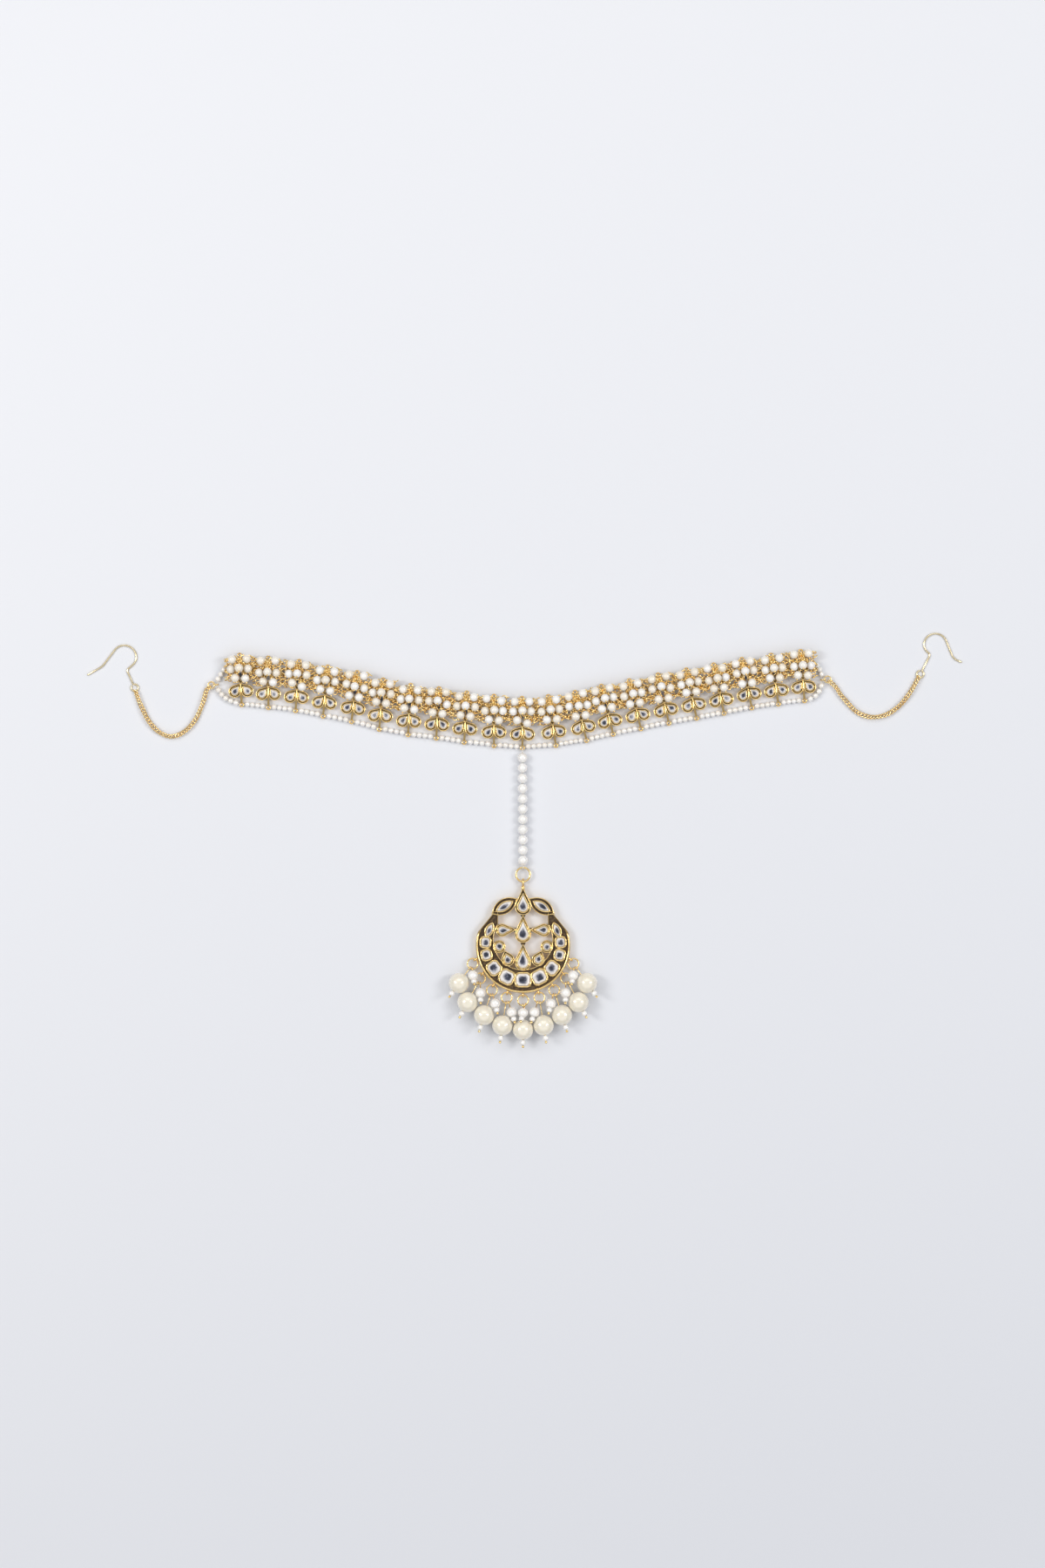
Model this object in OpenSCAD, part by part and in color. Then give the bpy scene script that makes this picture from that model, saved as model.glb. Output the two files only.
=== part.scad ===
/* [Band links] */
// Height of the upper stringing ring above the lower one
ring_rise = 15.6; // [15.2:0.1:17]
// Height of the small top ring above the lower ring
top_rise = 19; // [18.8:0.1:20]
// Height of the centre of the three petals above the lower ring
trefoil_rise = 8; // [7.8:0.1:8.4]
// Distance from the trefoil's centre to the middle of each petal
petal_out = 3.75; // [3.6:0.05:3.9]
// Angle of each lower petal from straight down
petal_splay = 40; // [38:1:42]
// Radius of the round end of a petal's setting
petal_r = 2.25; // [2:0.05:2.35]
// Distance from the middle of a petal to its pointed tip
petal_tip = 3.9; // [3.8:0.05:4.1]
// Width of the bright rim, and of the dark groove, of each setting
rim_w = 0.3; // [0.2:0.05:0.4]
// Height of the bright rims of a link
link_h = 1.9; // [1.7:0.1:2.1]
// Height of the floor under a link's stones
link_floor = 0.7; // [0.5:0.1:0.9]
// Height of the dark groove's floor in a link
link_groove = 1.1; // [0.9:0.1:1.4]
// Diameter of the wire of the stringing rings
ring_wire = 0.54; // [0.5:0.02:0.6]
// Radius of the hole of a stringing ring
ring_hole = 0.42; // [0.4:0.02:0.5]

/* [Pearl edging] */
// Diameter of the small white edging pearls
edge_d = 2.15; // [2:0.05:2.2]
// Diameter of the stringing thread
edge_thread_d = 0.22; // [0.2:0.02:0.3]
// Distance of the string from the middle of each stringing ring
string_shift = 0.45; // [0.4:0.01:0.5]
// Gap between the edging pearls on each side of a ring, from its middle
string_gap = 1.2; // [1.16:0.02:1.3]

/* [Pearl bunches] */
// Diameter of the pearls bunched in front of the links
bunch_d = 3.3; // [3:0.1:3.5]
// Diameter of the bunches' head pins
bunch_pin_d = 0.36; // [0.3:0.02:0.38]
// Diameter of the head on a pin's end
head_d = 0.8; // [0.6:0.05:1]
// Height of the lowest bunched pearl's middle
bunch_z = 4.1; // [4.1:0.1:4.4]
// Most that a bunched pearl is moved up or down the band
bunch_shift = 0.45; // [0:0.05:0.5]
// Most that a bunched pearl is raised
bunch_lift = 0.6; // [0:0.1:0.7]

/* [Stones] */
// Height that a stone's table stands above its setting
table_rise = 0.2; // [0.1:0.05:0.4]
// Size of a stone's table as a share of the stone
table_share = 0.55; // [0.4:0.05:0.7]
// Space between a stone and the wall of its setting
stone_gap = 0.12; // [0.1:0.01:0.14]

/* [Centre strand] */
// Diameter of the strand's pearls
strand_d = 3.8; // [3.4:0.1:4]
// Space between neighbouring pearls of the strand
strand_gap = 0.12; // [0.1:0.02:0.3]
// Number of pearls on the strand
strand_n = 11; // [9:1:12]
// Diameter of the strand's thread
thread_d = 0.36; // [0.3:0.02:0.4]
// Diameter of the hole drilled in the strand's pearls
drill_d = 0.8; // [0.7:0.05:1]

/* [Pendant] */
// Radius of the pendant's round outline
pendant_r = 18; // [17.8:0.1:19]
// Height of the pendant's raised rims
pendant_h = 3; // [2.8:0.1:3.2]
// Height of the floor under the pendant's stones
pendant_floor = 1.4; // [1.2:0.1:1.6]
// Depth of the dark grooves round the settings
groove_d = 0.6; // [0.5:0.05:0.8]
// Width of the gold lip round each stone
lip_w = 0.22; // [0.2:0.02:0.3]
// Width of the outer wall of each setting
wall_w = 0.26; // [0.2:0.02:0.3]
// Radius of the round opening inside the crescent
inner_r = 11.3; // [11.1:0.1:11.4]
// Height of that opening's middle above the pendant's middle
inner_up = 2.2; // [2:0.1:2.3]
// Width of the pendant's outer rim
outer_rim_w = 0.8; // [0.6:0.1:1]
// Outer diameter of the jump ring above the pendant
jump_d = 6.1; // [5.8:0.1:6.4]
// Wire diameter of that jump ring
jump_wire = 0.75; // [0.6:0.05:0.8]
// Outer radius of the pendant's bail
bail_r = 1.7; // [1.6:0.05:1.75]
// Wire diameter of the bail
bail_wire = 0.7; // [0.6:0.05:0.8]

/* [Pendant drops] */
// Diameter of the drops' pins
pin_d = 0.44; // [0.36:0.02:0.5]
// Diameter of the large cream pearls
large_d = 7.9; // [7.6:0.1:8]
// Diameter of the small white pearls
small_d = 4; // [3.6:0.1:4.1]
// Diameter of the seed beads at the drops' tips
seed_d = 2.2; // [2:0.1:2.3]
// Distance of the middle large pearl below the pendant's rim
drop_len = 14; // [13.8:0.1:15]
// Angle between neighbouring drop loops on the rim
loop_step = 18.5; // [18:0.5:19]
// Outer radius of a rim loop
loop_r = 1.15; // [1.1:0.05:1.2]
// Wire diameter of a rim loop
loop_wire = 0.6; // [0.5:0.05:0.65]
// Outer diameter of a drop's jump ring
drop_ring_d = 4.6; // [4.4:0.1:4.8]
// Wire diameter of a drop's jump ring
drop_ring_wire = 0.56; // [0.5:0.02:0.6]
// Outer radius of the eye on a drop's pin
eye_r = 1; // [0.95:0.05:1.05]

/* [Side chains and ear hooks] */
// Width of the side chains
chain_w = 2; // [1.6:0.1:2.2]
// Wire diameter of the ear hooks
hook_wire = 0.7; // [0.6:0.05:0.8]
// Outer diameter of a hook's eye
hook_eye_d = 3.4; // [3.2:0.1:3.6]
// Outer diameter of the rings at the band's ends
end_ring_d = 3; // [2.9:0.1:3.2]
// Wire diameter of the end rings and links
end_wire = 0.5; // [0.4:0.05:0.55]

/* [Hidden] */
$fn = 48;

// Places of the links' lower rings along the band, left to right, and how far each link leans left
// columns: x, y, lean in degrees
X = 0; Y = 1; LEAN = 2;
band_places = [
    [-107.4, 8.7, 2.5], [-97.2, 7.6, 0], [-86.8, 6.4, -4], [-76.3, 4.3, -5.5],
    [-65.4, 2.2, -6.5], [-54.8, -0.7, -4.5], [-43.8, -2.8, -3.2], [-33, -4.1, -3.2],
    [-22.3, -5.7, -3], [-10.9, -7, 0], [0, -7.8, 0.6], [12.8, -6.9, 9],
    [24.5, -5, 13.5], [34.7, -2.6, 13.8], [45.3, -0.5, 13.5], [56, 1.6, 12.6],
    [66.6, 3.5, 12], [77.1, 5.4, 12], [87.7, 7.5, 11.5], [97.9, 8.9, 8.5], [107.9, 10.2, 4.5],
];
// The pearl string's turn round each end of the band; the last link of each end holds on at "hold"
right_turn = [[110.6, 11.1], [112.9, 12.6], [114.2, 15.2]];
right_hold = [114.5, 18.2];
right_back = [[114.3, 21], [112.9, 23.6], [110.6, 25]];
left_turn = [[-111.2, 23.6], [-114.2, 22.2], [-116.2, 19.4]];
left_hold = [-116.8, 16.4];
left_back = [[-116, 13.6], [-113.8, 11.4], [-111, 9.8]];
// Routes of the side chains, from the band's end ring to the hook's eye
left_route = [
    [-120.9, 14.2], [-121.9, 10.6], [-123.6, 6], [-125.5, 2.5], [-128.1, -0.5], [-131.3, -2.7],
    [-134.9, -3.4], [-138.3, -2.2], [-141, 0], [-143.3, 3], [-145.4, 7.2], [-146.8, 10.4], [-147.7, 12.9],
];
right_route = [
    [119.9, 15.4], [121.5, 12.9], [124.2, 9.6], [127.1, 6.6], [130.1, 4.8], [133.6, 4],
    [137, 4.3], [140.2, 5.4], [143.5, 7.7], [146.5, 10.9], [148.9, 14.4], [150.8, 17.9],
];
left_eye_at = [-148.4, 15.2];
right_eye_at = [152.2, 20.4];
// Steps of each ear hook's wire from its eye to its tip: straight length, then radius and angle of a bend
// columns: length, bend radius, bend angle (left is positive)
RUN = 0; BEND_R = 1; BEND = 2;
left_hook_steps = [[5.2, 1.2, -72], [2.4, 3.6, 48], [0, 4.6, 143], [6.8, 5, -23], [5.6, 1, 0]];
left_hook_start = 114;
right_hook_steps = [[6.2, 1.2, 76], [0.6, 3.6, -60], [0, 4.4, -147], [5.6, 4.4, 46], [1.6, 1, 0]];
right_hook_start = 63;
// Stones of the pendant; the pendant's middle is at 0, 0
// columns: kind, x, y, turn of the pointed end from straight up, length, width, reach of its setting
KIND = 0; GX = 1; GY = 2; TURN = 3; LEN = 4; WID = 5; REACH = 6;
inner_stones = [
    ["pear", 0, 16.2, 0, 6.4, 3.8, 1.2], ["pear", 0, 5.8, 0, 7.2, 4.2, 1], ["pear", 0, -5, 0, 7, 4.2, 1],
    ["pear", -7.1, 6, 88, 4.7, 2.9, 1], ["pear", 7.1, 6, -88, 4.7, 2.9, 1],
    ["marquise", -7.1, 15.1, 59, 6.6, 2.6, 1.6], ["marquise", 7.1, 15.1, -59, 6.6, 2.6, 1.6],
    ["round", -9.1, -0.3, 0, 2.8, 2.8, 1], ["round", 9.1, -0.3, 0, 2.8, 2.8, 1],
    ["pear", -5.9, -5, -20, 3.4, 2.7, 1.1], ["pear", 5.9, -5, 20, 3.4, 2.7, 1.1],
];
// Round lands that join neighbouring settings low down, between their walls
// columns: x, y, radius
LAND_R = 2;
setting_lands = [
    [0, 11.7, 0.9], [0, 1, 0.9], [-2.9, 6, 0.8], [2.9, 6, 0.8], [-10.5, 6.1, 0.8], [10.5, 6.1, 0.8],
    [-2.9, 15.9, 0.8], [2.9, 15.9, 0.8], [-3.3, -6, 0.8], [3.3, -6, 0.8], [-10.6, 12.2, 1], [10.6, 12.2, 1],
];
// columns: angle from straight down, kind, length, width, share of the radius; squares are as long as they
// reach outward, and the marquise lies along the band
ANGLE = 0; CKIND = 1; CLEN = 2; CWID = 3; OUT = 4;
crescent_row = [
    [0, "square", 4.6, 5.4, 0.72], [27.5, "square", 4.6, 5, 0.745], [52.5, "square", 4.3, 4.5, 0.775],
    [76, "square", 3.3, 3.4, 0.8], [95.5, "square", 3.3, 3.4, 0.8], [115, "marquise", 5, 2.2, 0.79],
];
// Headings of the steps from one large pearl to the next, from the middle one outward
drop_headings = [12, 29, 38, 66];
// The small pearls: which large drop each hangs beside, and on which side of its pin
// columns: drop, side
DROP = 0; SIDE = 1;
small_drops = [[0, 1], [1, 1], [2, 1], [3, 1], [4, 0], [5, -1], [6, -1], [7, -1], [8, -1]];
// Places of a bunch's pearls across and up its link, and their height above the lowest
// columns: u, v, lift
U = 0; V = 1; LIFT = 2;
bunch = [
    [-2.8, 17.6, 0.1], [2.9, 17.5, 0.3], [-3.3, 13.7, 0.1], [0, 13.9, 2], [3.25, 13.5, 0],
    [-2, 10.1, 0.2], [1.9, 9.7, 0],
];

link_n = len(band_places);
drop_n = 2 * len(drop_headings) + 1;
mid = (drop_n - 1) / 2;
ring_z = 1.05;
string_z = edge_d / 2 + 0.03;
clear = 0.1;
ring_mid_r = ring_hole + ring_wire / 2;
neck_w = 0.8;
collar_wire = 0.44;
collar_r = neck_w / 2 + 0.15 + collar_wire / 2;
collar_v = (ring_rise + top_rise) / 2 - 0.1;
knot_z = bunch_z - 0.5;
knot_r = 1;
knot_stem_d = 0.9;
pin_sink = 0.06;
head_h = 0.45;
head_sink = 0.25;
strand_z = strand_d / 2 + 0.05;
jump_mid_r = (jump_d - jump_wire) / 2;
plate_z = bail_r;
bail_stem_d = 1.3;
bail_stem_h = 3;
loop_z = loop_r + 0.5;
large_z = large_d / 2 + 0.05;
small_z = large_z + 0.2;
loop_mid_r = loop_r - loop_wire / 2;
drop_ring_r = (drop_ring_d - drop_ring_wire) / 2;
eye_mid_r = eye_r - pin_d / 2;
shaft_d = pin_d - 0.06;
pin_end_d = 1;
small_splay = 31;
middle_splay = 22;
middle_z = large_z + 0.85;
middle_along = 6.43;
hook_z = hook_wire / 2 + 0.02;
chain_z = chain_w / 2 + 0.02;
tau = 360;
end_link_r = 1;
end_link_out = 0.5;
end_ring_step = 0.7;
hold_gap = 1.15;
string_lift = 0.3;
end_ring_r = (end_ring_d - end_wire) / 2;
strand_top = band_places[10][Y] - ring_mid_r;
strand_first = strand_top - 1.2 - strand_d / 2;
strand_pitch = strand_d + strand_gap;
strand_last = strand_first - (strand_n - 1) * strand_pitch;
jump_top = strand_last - strand_d / 2 - 0.87;
jump_at = [0.2, jump_top - jump_mid_r];
bail_at = [jump_at[X], jump_at[Y] - jump_mid_r - 0.35];
top_pear = inner_stones[0];
setting_top = top_pear[GY] + top_pear[LEN] / 2 + top_pear[REACH] * (2 * top_pear[LEN] / top_pear[WID] - 1);
pendant_at = [jump_at[X], bail_at[Y] - bail_r - setting_top - 0.2];

function pad(i) = str(i < 10 ? "0" : "", i);
link_names = [for (i = [1:link_n]) str("link_", pad(i))];
bunch_nodes = ["pearl_bunches_left", "pearl_bunches_middle", "pearl_bunches_right"];
drop_names = [for (k = [1:drop_n]) str("large_pearl_", k)];

// Small vector helpers
function unit(a) = a / norm(a);
function turned(a, t) = [a[0] * cos(t) - a[1] * sin(t), a[0] * sin(t) + a[1] * cos(t)];
function wobble(n) = 2 * (n * 0.618034 - floor(n * 0.618034)) - 1;

// Points of a link, given across (u) and up (v) from its lower ring
function on_link(i, u, v) =
    let (p = band_places[i]) [p[X], p[Y]] + turned([u, v], p[LEAN]);
function bunch_pearl(i, j) = let (
    b = bunch[j], n = 7 * i + j,
    p = on_link(i, b[U] + bunch_shift / 3 * wobble(3 * n + 1), b[V] + bunch_shift * wobble(5 * n + 2)),
    z = bunch_z + b[LIFT] + bunch_lift * (1 + wobble(11 * n + 4)) / 2
) [p[0], p[1], z];

// A tube swept along points, with a radius for each; closed when it runs back to its start
function tube_ring(p, r, t, sides) = let (s = unit(cross(t, [0, 0, 1])), w = cross(s, t))
    [for (k = [0:sides - 1]) p + r * (cos(k * tau / sides) * s + sin(k * tau / sides) * w)];
module tube(points, radii, sides, closed) {
    n = len(points);
    back = [for (i = [0:n - 1]) closed || i > 0 ? (i + n - 1) % n : 0];
    next = [for (i = [0:n - 1]) closed || i < n - 1 ? (i + 1) % n : i];
    rings = [for (i = [0:n - 1])
        each tube_ring(points[i], radii[i], unit(points[next[i]] - points[back[i]]), sides)];
    walls = [for (i = [0:closed ? n - 1 : n - 2]) for (k = [0:sides - 1])
        let (j = (i + 1) % n, m = (k + 1) % sides)
        [i * sides + k, i * sides + m, j * sides + m, j * sides + k]];
    caps = closed ? [] : [
        [for (k = [0:sides - 1]) sides - 1 - k],
        [for (k = [0:sides - 1]) (n - 1) * sides + k],
    ];
    polyhedron(rings, concat(walls, caps));
}

// Flat rings, rings that stand on edge across a direction, and straight rods between two points
module flat_ring(at, z, mid_r, wire) {
    translate([at[0], at[1], z]) rotate_extrude() translate([mid_r, 0]) circle(d = wire);
}
module standing_ring(at, z, heading, mid_r, wire) {
    translate([at[0], at[1], z]) rotate([90, 0, heading])
        rotate_extrude() translate([mid_r, 0]) circle(d = wire);
}
module aimed(a, way) {
    translate(a) rotate([0, acos(way[2] / norm(way)), atan2(way[1], way[0])]) children();
}
module rod(a, b, d) {
    aimed(a, b - a) cylinder(d = d, h = norm(b - a));
}

// Outlines of the cut stones and their settings, grown outward by w
module pear_2d(r, tip, w) {
    s = r / tip;
    c = sqrt(1 - s * s);
    grown = r + w;
    inner = grown - 0.01;
    circle(grown);
    polygon([[-inner * c, inner * s], [inner * c, inner * s], [0, grown / s]]);
}
module marquise_2d(length, width, w) {
    arc_r = (length * length + width * width) / (4 * width);
    intersection() {
        translate([arc_r - width / 2, 0]) circle(arc_r + w);
        translate([width / 2 - arc_r, 0]) circle(arc_r + w);
    }
}
function pear_r(g) = g[WID] / 2;
function pear_tip(g) = g[LEN] - g[WID] / 2;
module stone_2d(g, w) {
    translate([g[GX], g[GY]]) rotate(-g[TURN]) {
        if (g[KIND] == "pear") translate([0, pear_r(g) - g[LEN] / 2]) pear_2d(pear_r(g), pear_tip(g), w);
        if (g[KIND] == "marquise") marquise_2d(g[LEN], g[WID], w);
        if (g[KIND] == "round") circle(g[WID] / 2 + w);
        if (g[KIND] == "square") square([g[WID] + 2 * w, g[LEN] + 2 * w], center = true);
    }
}

// Corner points of a stone's girdle
function arc_points(r, from, to, n) =
    [for (k = [0:n]) let (a = from + (to - from) * k / n) r * [cos(a), sin(a)]];
function pear_points(r, tip, n) =
    let (a = asin(r / tip)) concat(arc_points(r, 180 - a, 360 + a, n), [[0, tip]]);
function marquise_points(length, width, n) = let (
    arc_r = (length * length + width * width) / (4 * width),
    half = asin(length / 2 / arc_r),
    side = [for (k = [0:n - 1]) let (a = 2 * half * k / n - half)
        [arc_r * cos(a) - arc_r + width / 2, arc_r * sin(a)]]
) concat(side, -side);
function square_points(a, b) = let (c = 0.22 * min(a, b)) [
    [a / 2, c - b / 2], [a / 2, b / 2 - c], [a / 2 - c, b / 2], [c - a / 2, b / 2],
    [-a / 2, b / 2 - c], [-a / 2, c - b / 2], [c - a / 2, -b / 2], [a / 2 - c, -b / 2],
];
function girdle(g) =
    g[KIND] == "pear" ? [for (p = pear_points(pear_r(g), pear_tip(g), 9)) p + [0, pear_r(g) - g[LEN] / 2]]
    : g[KIND] == "marquise" ? marquise_points(g[LEN], g[WID], 5)
    : g[KIND] == "round" ? arc_points(g[WID] / 2, 0, 330, 11)
    : square_points(g[WID], g[LEN]);
module cut_stone(outline, floor_z, girdle_z, table_z) {
    n = len(outline);
    levels = [[floor_z, 0.92], [girdle_z, 1], [table_z, table_share]];
    points = [for (l = levels) for (p = outline) [p[0] * l[1], p[1] * l[1], l[0]]];
    polyhedron(points, concat(
        [for (l = [0:len(levels) - 2]) for (k = [0:n - 1]) let (m = (k + 1) % n)
            [l * n + m, l * n + k, (l + 1) * n + k, (l + 1) * n + m]],
        [[for (k = [0:n - 1]) k], [for (k = [0:n - 1]) 3 * n - 1 - k]]
    ));
}

// The three petals of a link, each placed with its tip at the trefoil's centre
module petals() {
    for (t = [0, 180 - petal_splay, 180 + petal_splay])
        translate([0, trefoil_rise]) rotate(t) translate([0, petal_out]) rotate(180) children();
}
function petal_hole_r() = petal_r - 3 * rim_w + stone_gap;
module petals_2d(w) {
    petals() pear_2d(petal_r + w, petal_tip * (petal_r + w) / petal_r, 0);
}
module band_link(i) {
    p = band_places[i];
    stem_v = trefoil_rise + petal_out + petal_r - rim_w;
    color("gold") translate([p[X], p[Y], 0]) rotate(p[LEAN]) {
        linear_extrude(link_floor) petals_2d(0);
        translate([0, 0, link_floor]) linear_extrude(link_groove - link_floor) difference() {
            petals_2d(0);
            petals_2d(petal_hole_r() - petal_r);
        }
        translate([0, 0, link_groove]) linear_extrude(link_h - link_groove) petals() difference() {
            pear_2d(petal_r, petal_tip, 0);
            difference() {
                pear_2d(petal_r - rim_w, petal_tip * (1 - rim_w / petal_r), 0);
                pear_2d(petal_r - 2 * rim_w, petal_tip * (1 - 2 * rim_w / petal_r), 0);
            }
            pear_2d(petal_hole_r(), petal_tip * petal_hole_r() / petal_r, 0);
        }
        // lower stem, neck and the three rings
        flat_ring([0, 0], ring_z, ring_mid_r, ring_wire);
        flat_ring([0, ring_rise], ring_z, ring_mid_r, ring_wire);
        flat_ring([0, top_rise], ring_z, ring_mid_r, ring_wire);
        translate([-neck_w / 2, ring_mid_r, ring_z - neck_w / 2])
            cube([neck_w, trefoil_rise - petal_out + petal_r / 3, neck_w]);
        translate([-neck_w / 2, stem_v, ring_z - neck_w / 2])
            cube([neck_w, ring_rise - ring_mid_r - stem_v, neck_w]);
        translate([0, ring_rise + ring_mid_r, ring_z]) rotate([-90, 0, 0])
            cylinder(d = neck_w, h = top_rise - ring_rise - 2 * ring_mid_r);
    }
}
module band_stones() {
    r = petal_hole_r() - stone_gap;
    color("lightgray") for (p = band_places) translate([p[X], p[Y], 0]) rotate(p[LEAN])
        petals() cut_stone(
            pear_points(r, petal_tip * r / petal_r, 9), link_floor + clear, link_h - 0.3, link_h + table_rise
        );
}

// The string of small pearls runs along the lower rings, round the right end and back along the upper rings
string_over = ring_wire / 2 + string_lift;
function string_piece(at, way, up) = [
    [at - string_gap * way, string_z, edge_d / 2],
    [at - (string_gap - 0.1) * way - 0.5 * string_shift * up, ring_z + 0.4, edge_thread_d / 2],
    [at - ring_mid_r * way - 0.55 * string_shift * up, ring_z + string_over, edge_thread_d / 2],
    [at + ring_mid_r * way - 0.55 * string_shift * up, ring_z - string_over, edge_thread_d / 2],
    [at + (string_gap - 0.1) * way - 0.5 * string_shift * up, ring_z - 0.4, edge_thread_d / 2],
    [at + string_gap * way, string_z, edge_d / 2],
];
function hold_piece(at, way) = [
    [at - hold_gap * way, string_z, edge_d / 2],
    [at - (hold_gap - 0.1) * way, string_z, edge_thread_d / 2],
    [at + (hold_gap - 0.1) * way, string_z, edge_thread_d / 2],
    [at + hold_gap * way, string_z, edge_d / 2],
];
function plain_pieces(points) = [for (p = points) [p, string_z, edge_d / 2]];
function ring_row(v) = [for (i = [0:link_n - 1]) on_link(i, 0, v)];
function way_at(row, i) = unit(row[min(i + 1, link_n - 1)] - row[max(i - 1, 0)]);
function up_of(i) = turned([0, 1], band_places[i][LEAN]);
lower_row = ring_row(string_shift);
upper_row = ring_row(ring_rise - string_shift);
string_route = concat(
    [for (i = [0:link_n - 1]) each string_piece(lower_row[i], way_at(lower_row, i), up_of(i))],
    plain_pieces(right_turn),
    hold_piece(right_hold, unit(right_back[0] - right_turn[2])),
    plain_pieces(right_back),
    [for (k = [0:link_n - 1]) let (i = link_n - 1 - k)
        each string_piece(upper_row[i], -way_at(upper_row, i), -up_of(i))],
    plain_pieces(left_turn),
    hold_piece(left_hold, unit(left_back[0] - left_turn[2])),
    plain_pieces(left_back)
);
module edge_string() {
    color("white")
        tube([for (s = string_route) [s[0][0], s[0][1], s[1]]], [for (s = string_route) s[2]], 8, true);
}

// A bunch of pearls: a collar round the link's neck, a knot of wire above it and a head pin to each pearl
module pearl_bunch(i) {
    p = band_places[i];
    neck = on_link(i, 0, collar_v);
    top = [neck[0], neck[1], knot_z];
    color("gold") standing_ring(neck, ring_z, p[LEAN], collar_r, collar_wire);
    color("gold") translate([neck[0], neck[1], ring_z + collar_r])
        cylinder(d = knot_stem_d, h = knot_z - ring_z - collar_r);
    color("gold") translate(top) rotate(90) sphere(r = knot_r);
    for (j = [0:len(bunch) - 1]) {
        at = bunch_pearl(i, j);
        way = unit(at - top);
        color("gold") rod(top + (knot_r - pin_sink) * way, at, bunch_pin_d);
        aimed(at, way) {
            color("ivory") rotate([90, 0, 0]) sphere(d = bunch_d);
            color("gold") translate([0, 0, bunch_d / 2 - head_sink])
                cylinder(d = head_d, h = head_sink + head_h);
        }
    }
}
// The bunches are kept in three nodes, left to right along the band
bunch_share = ceil(link_n / len(bunch_nodes));
module pearl_bunches(part) {
    for (i = [part * bunch_share:min(link_n, (part + 1) * bunch_share) - 1]) pearl_bunch(i);
}

// The centre strand: drilled pearls on a thread looped over the middle link's ring and the jump ring
module strand_pearls() {
    color("white") for (k = [0:strand_n - 1])
        translate([jump_at[X] * k / strand_n, strand_first - k * strand_pitch, strand_z]) difference() {
            sphere(d = strand_d);
            rotate([90, 0, 0]) cylinder(d = drill_d, h = strand_d + 1, center = true);
        }
}
module strand_thread() {
    loop_mid = 0.55;
    ring_loop = 0.66;
    half = loop_mid * sqrt(0.5);
    start = [0, strand_top - half, ring_z + half];
    rise = [0, strand_first + strand_d / 2 - 0.1, strand_z];
    finish = [jump_at[X], jump_top + ring_loop + 0.2, strand_z];
    color("white") {
        standing_ring([0, strand_top], ring_z, 90, loop_mid, thread_d);
        rod(start, rise, thread_d);
        translate(rise) sphere(d = 1.3 * thread_d);
        rod(rise, finish, thread_d);
        translate(finish) sphere(d = 1.3 * thread_d);
        rod(finish, [jump_at[X], jump_top + ring_loop, plate_z], thread_d);
        standing_ring([jump_at[X], jump_top], plate_z, 90, ring_loop, thread_d);
    }
}
module strand_ring() {
    color("gold") flat_ring(jump_at, plate_z, jump_mid_r, jump_wire);
}

// The pendant: a crescent of stones closed above by three more, pierced round the stones inside it
function crescent_stone(c, side) = [
    c[CKIND], side * c[OUT] * pendant_r * sin(c[ANGLE]), -c[OUT] * pendant_r * cos(c[ANGLE]),
    180 - side * c[ANGLE] + (c[CKIND] == "marquise" ? 90 : 0), c[CLEN], c[CWID],
];
crescent_stones = concat(
    [for (c = crescent_row) crescent_stone(c, 1)],
    [for (k = [1:len(crescent_row) - 1]) crescent_stone(crescent_row[k], -1)]
);
pendant_gems = concat(inner_stones, crescent_stones);
// Half the space between the crescent's horns, their height, and the outline cut from each horn's outer side
horn_x = 0.53 * pendant_r;
horn_y = 0.73 * pendant_r;
horn_slope = [[0.95, 0.3], [0.64, 0.68], [0.6, 1], [1.2, 1], [1.2, 0.3]];
module crescent_2d(w) {
    difference() {
        circle(pendant_r - w);
        translate([0, inner_up]) circle(inner_r + w);
        translate([-horn_x - w, inner_up]) square([2 * (horn_x + w), pendant_r]);
        translate([-1.5 * pendant_r, horn_y - w]) square([3 * pendant_r, pendant_r]);
        for (side = [-1, 1]) scale([side, 1]) translate([-0.77 * w, -0.63 * w])
            polygon(pendant_r * horn_slope);
    }
}
module plate_2d() {
    crescent_2d(0);
    for (g = inner_stones) stone_2d(g, g[REACH]);
    for (a = setting_lands) translate([a[X], a[Y]]) circle(a[LAND_R]);
}
module pendant_frame() {
    groove_z = pendant_h - groove_d;
    color("gold") translate([pendant_at[X], pendant_at[Y], 0]) {
        linear_extrude(pendant_floor) plate_2d();
        translate([0, 0, pendant_floor]) linear_extrude(groove_z - pendant_floor) difference() {
            plate_2d();
            for (g = pendant_gems) stone_2d(g, stone_gap);
        }
        translate([0, 0, groove_z]) linear_extrude(groove_d) {
            difference() {
                crescent_2d(0);
                intersection() {
                    circle(pendant_r - outer_rim_w);
                    crescent_2d(wall_w);
                }
            }
            for (g = inner_stones) difference() {
                stone_2d(g, g[REACH]);
                stone_2d(g, g[REACH] - wall_w);
            }
            for (g = pendant_gems) difference() {
                stone_2d(g, stone_gap + lip_w);
                stone_2d(g, stone_gap);
            }
        }
    }
    color("gold") {
        rim_loops();
        standing_ring(bail_at, plate_z, 90, bail_r - bail_wire / 2, bail_wire);
        translate([bail_at[X], bail_at[Y] - bail_r + bail_wire / 2, plate_z]) rotate([90, 0, 0])
            cylinder(d = bail_stem_d, h = bail_stem_h);
    }
}
module pendant_stones() {
    color("lightgray") translate([pendant_at[X], pendant_at[Y], 0])
        for (g = pendant_gems) translate([g[GX], g[GY], 0]) rotate(-g[TURN])
            cut_stone(girdle(g), pendant_floor + clear, pendant_h - 0.4, pendant_h + table_rise);
}

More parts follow.
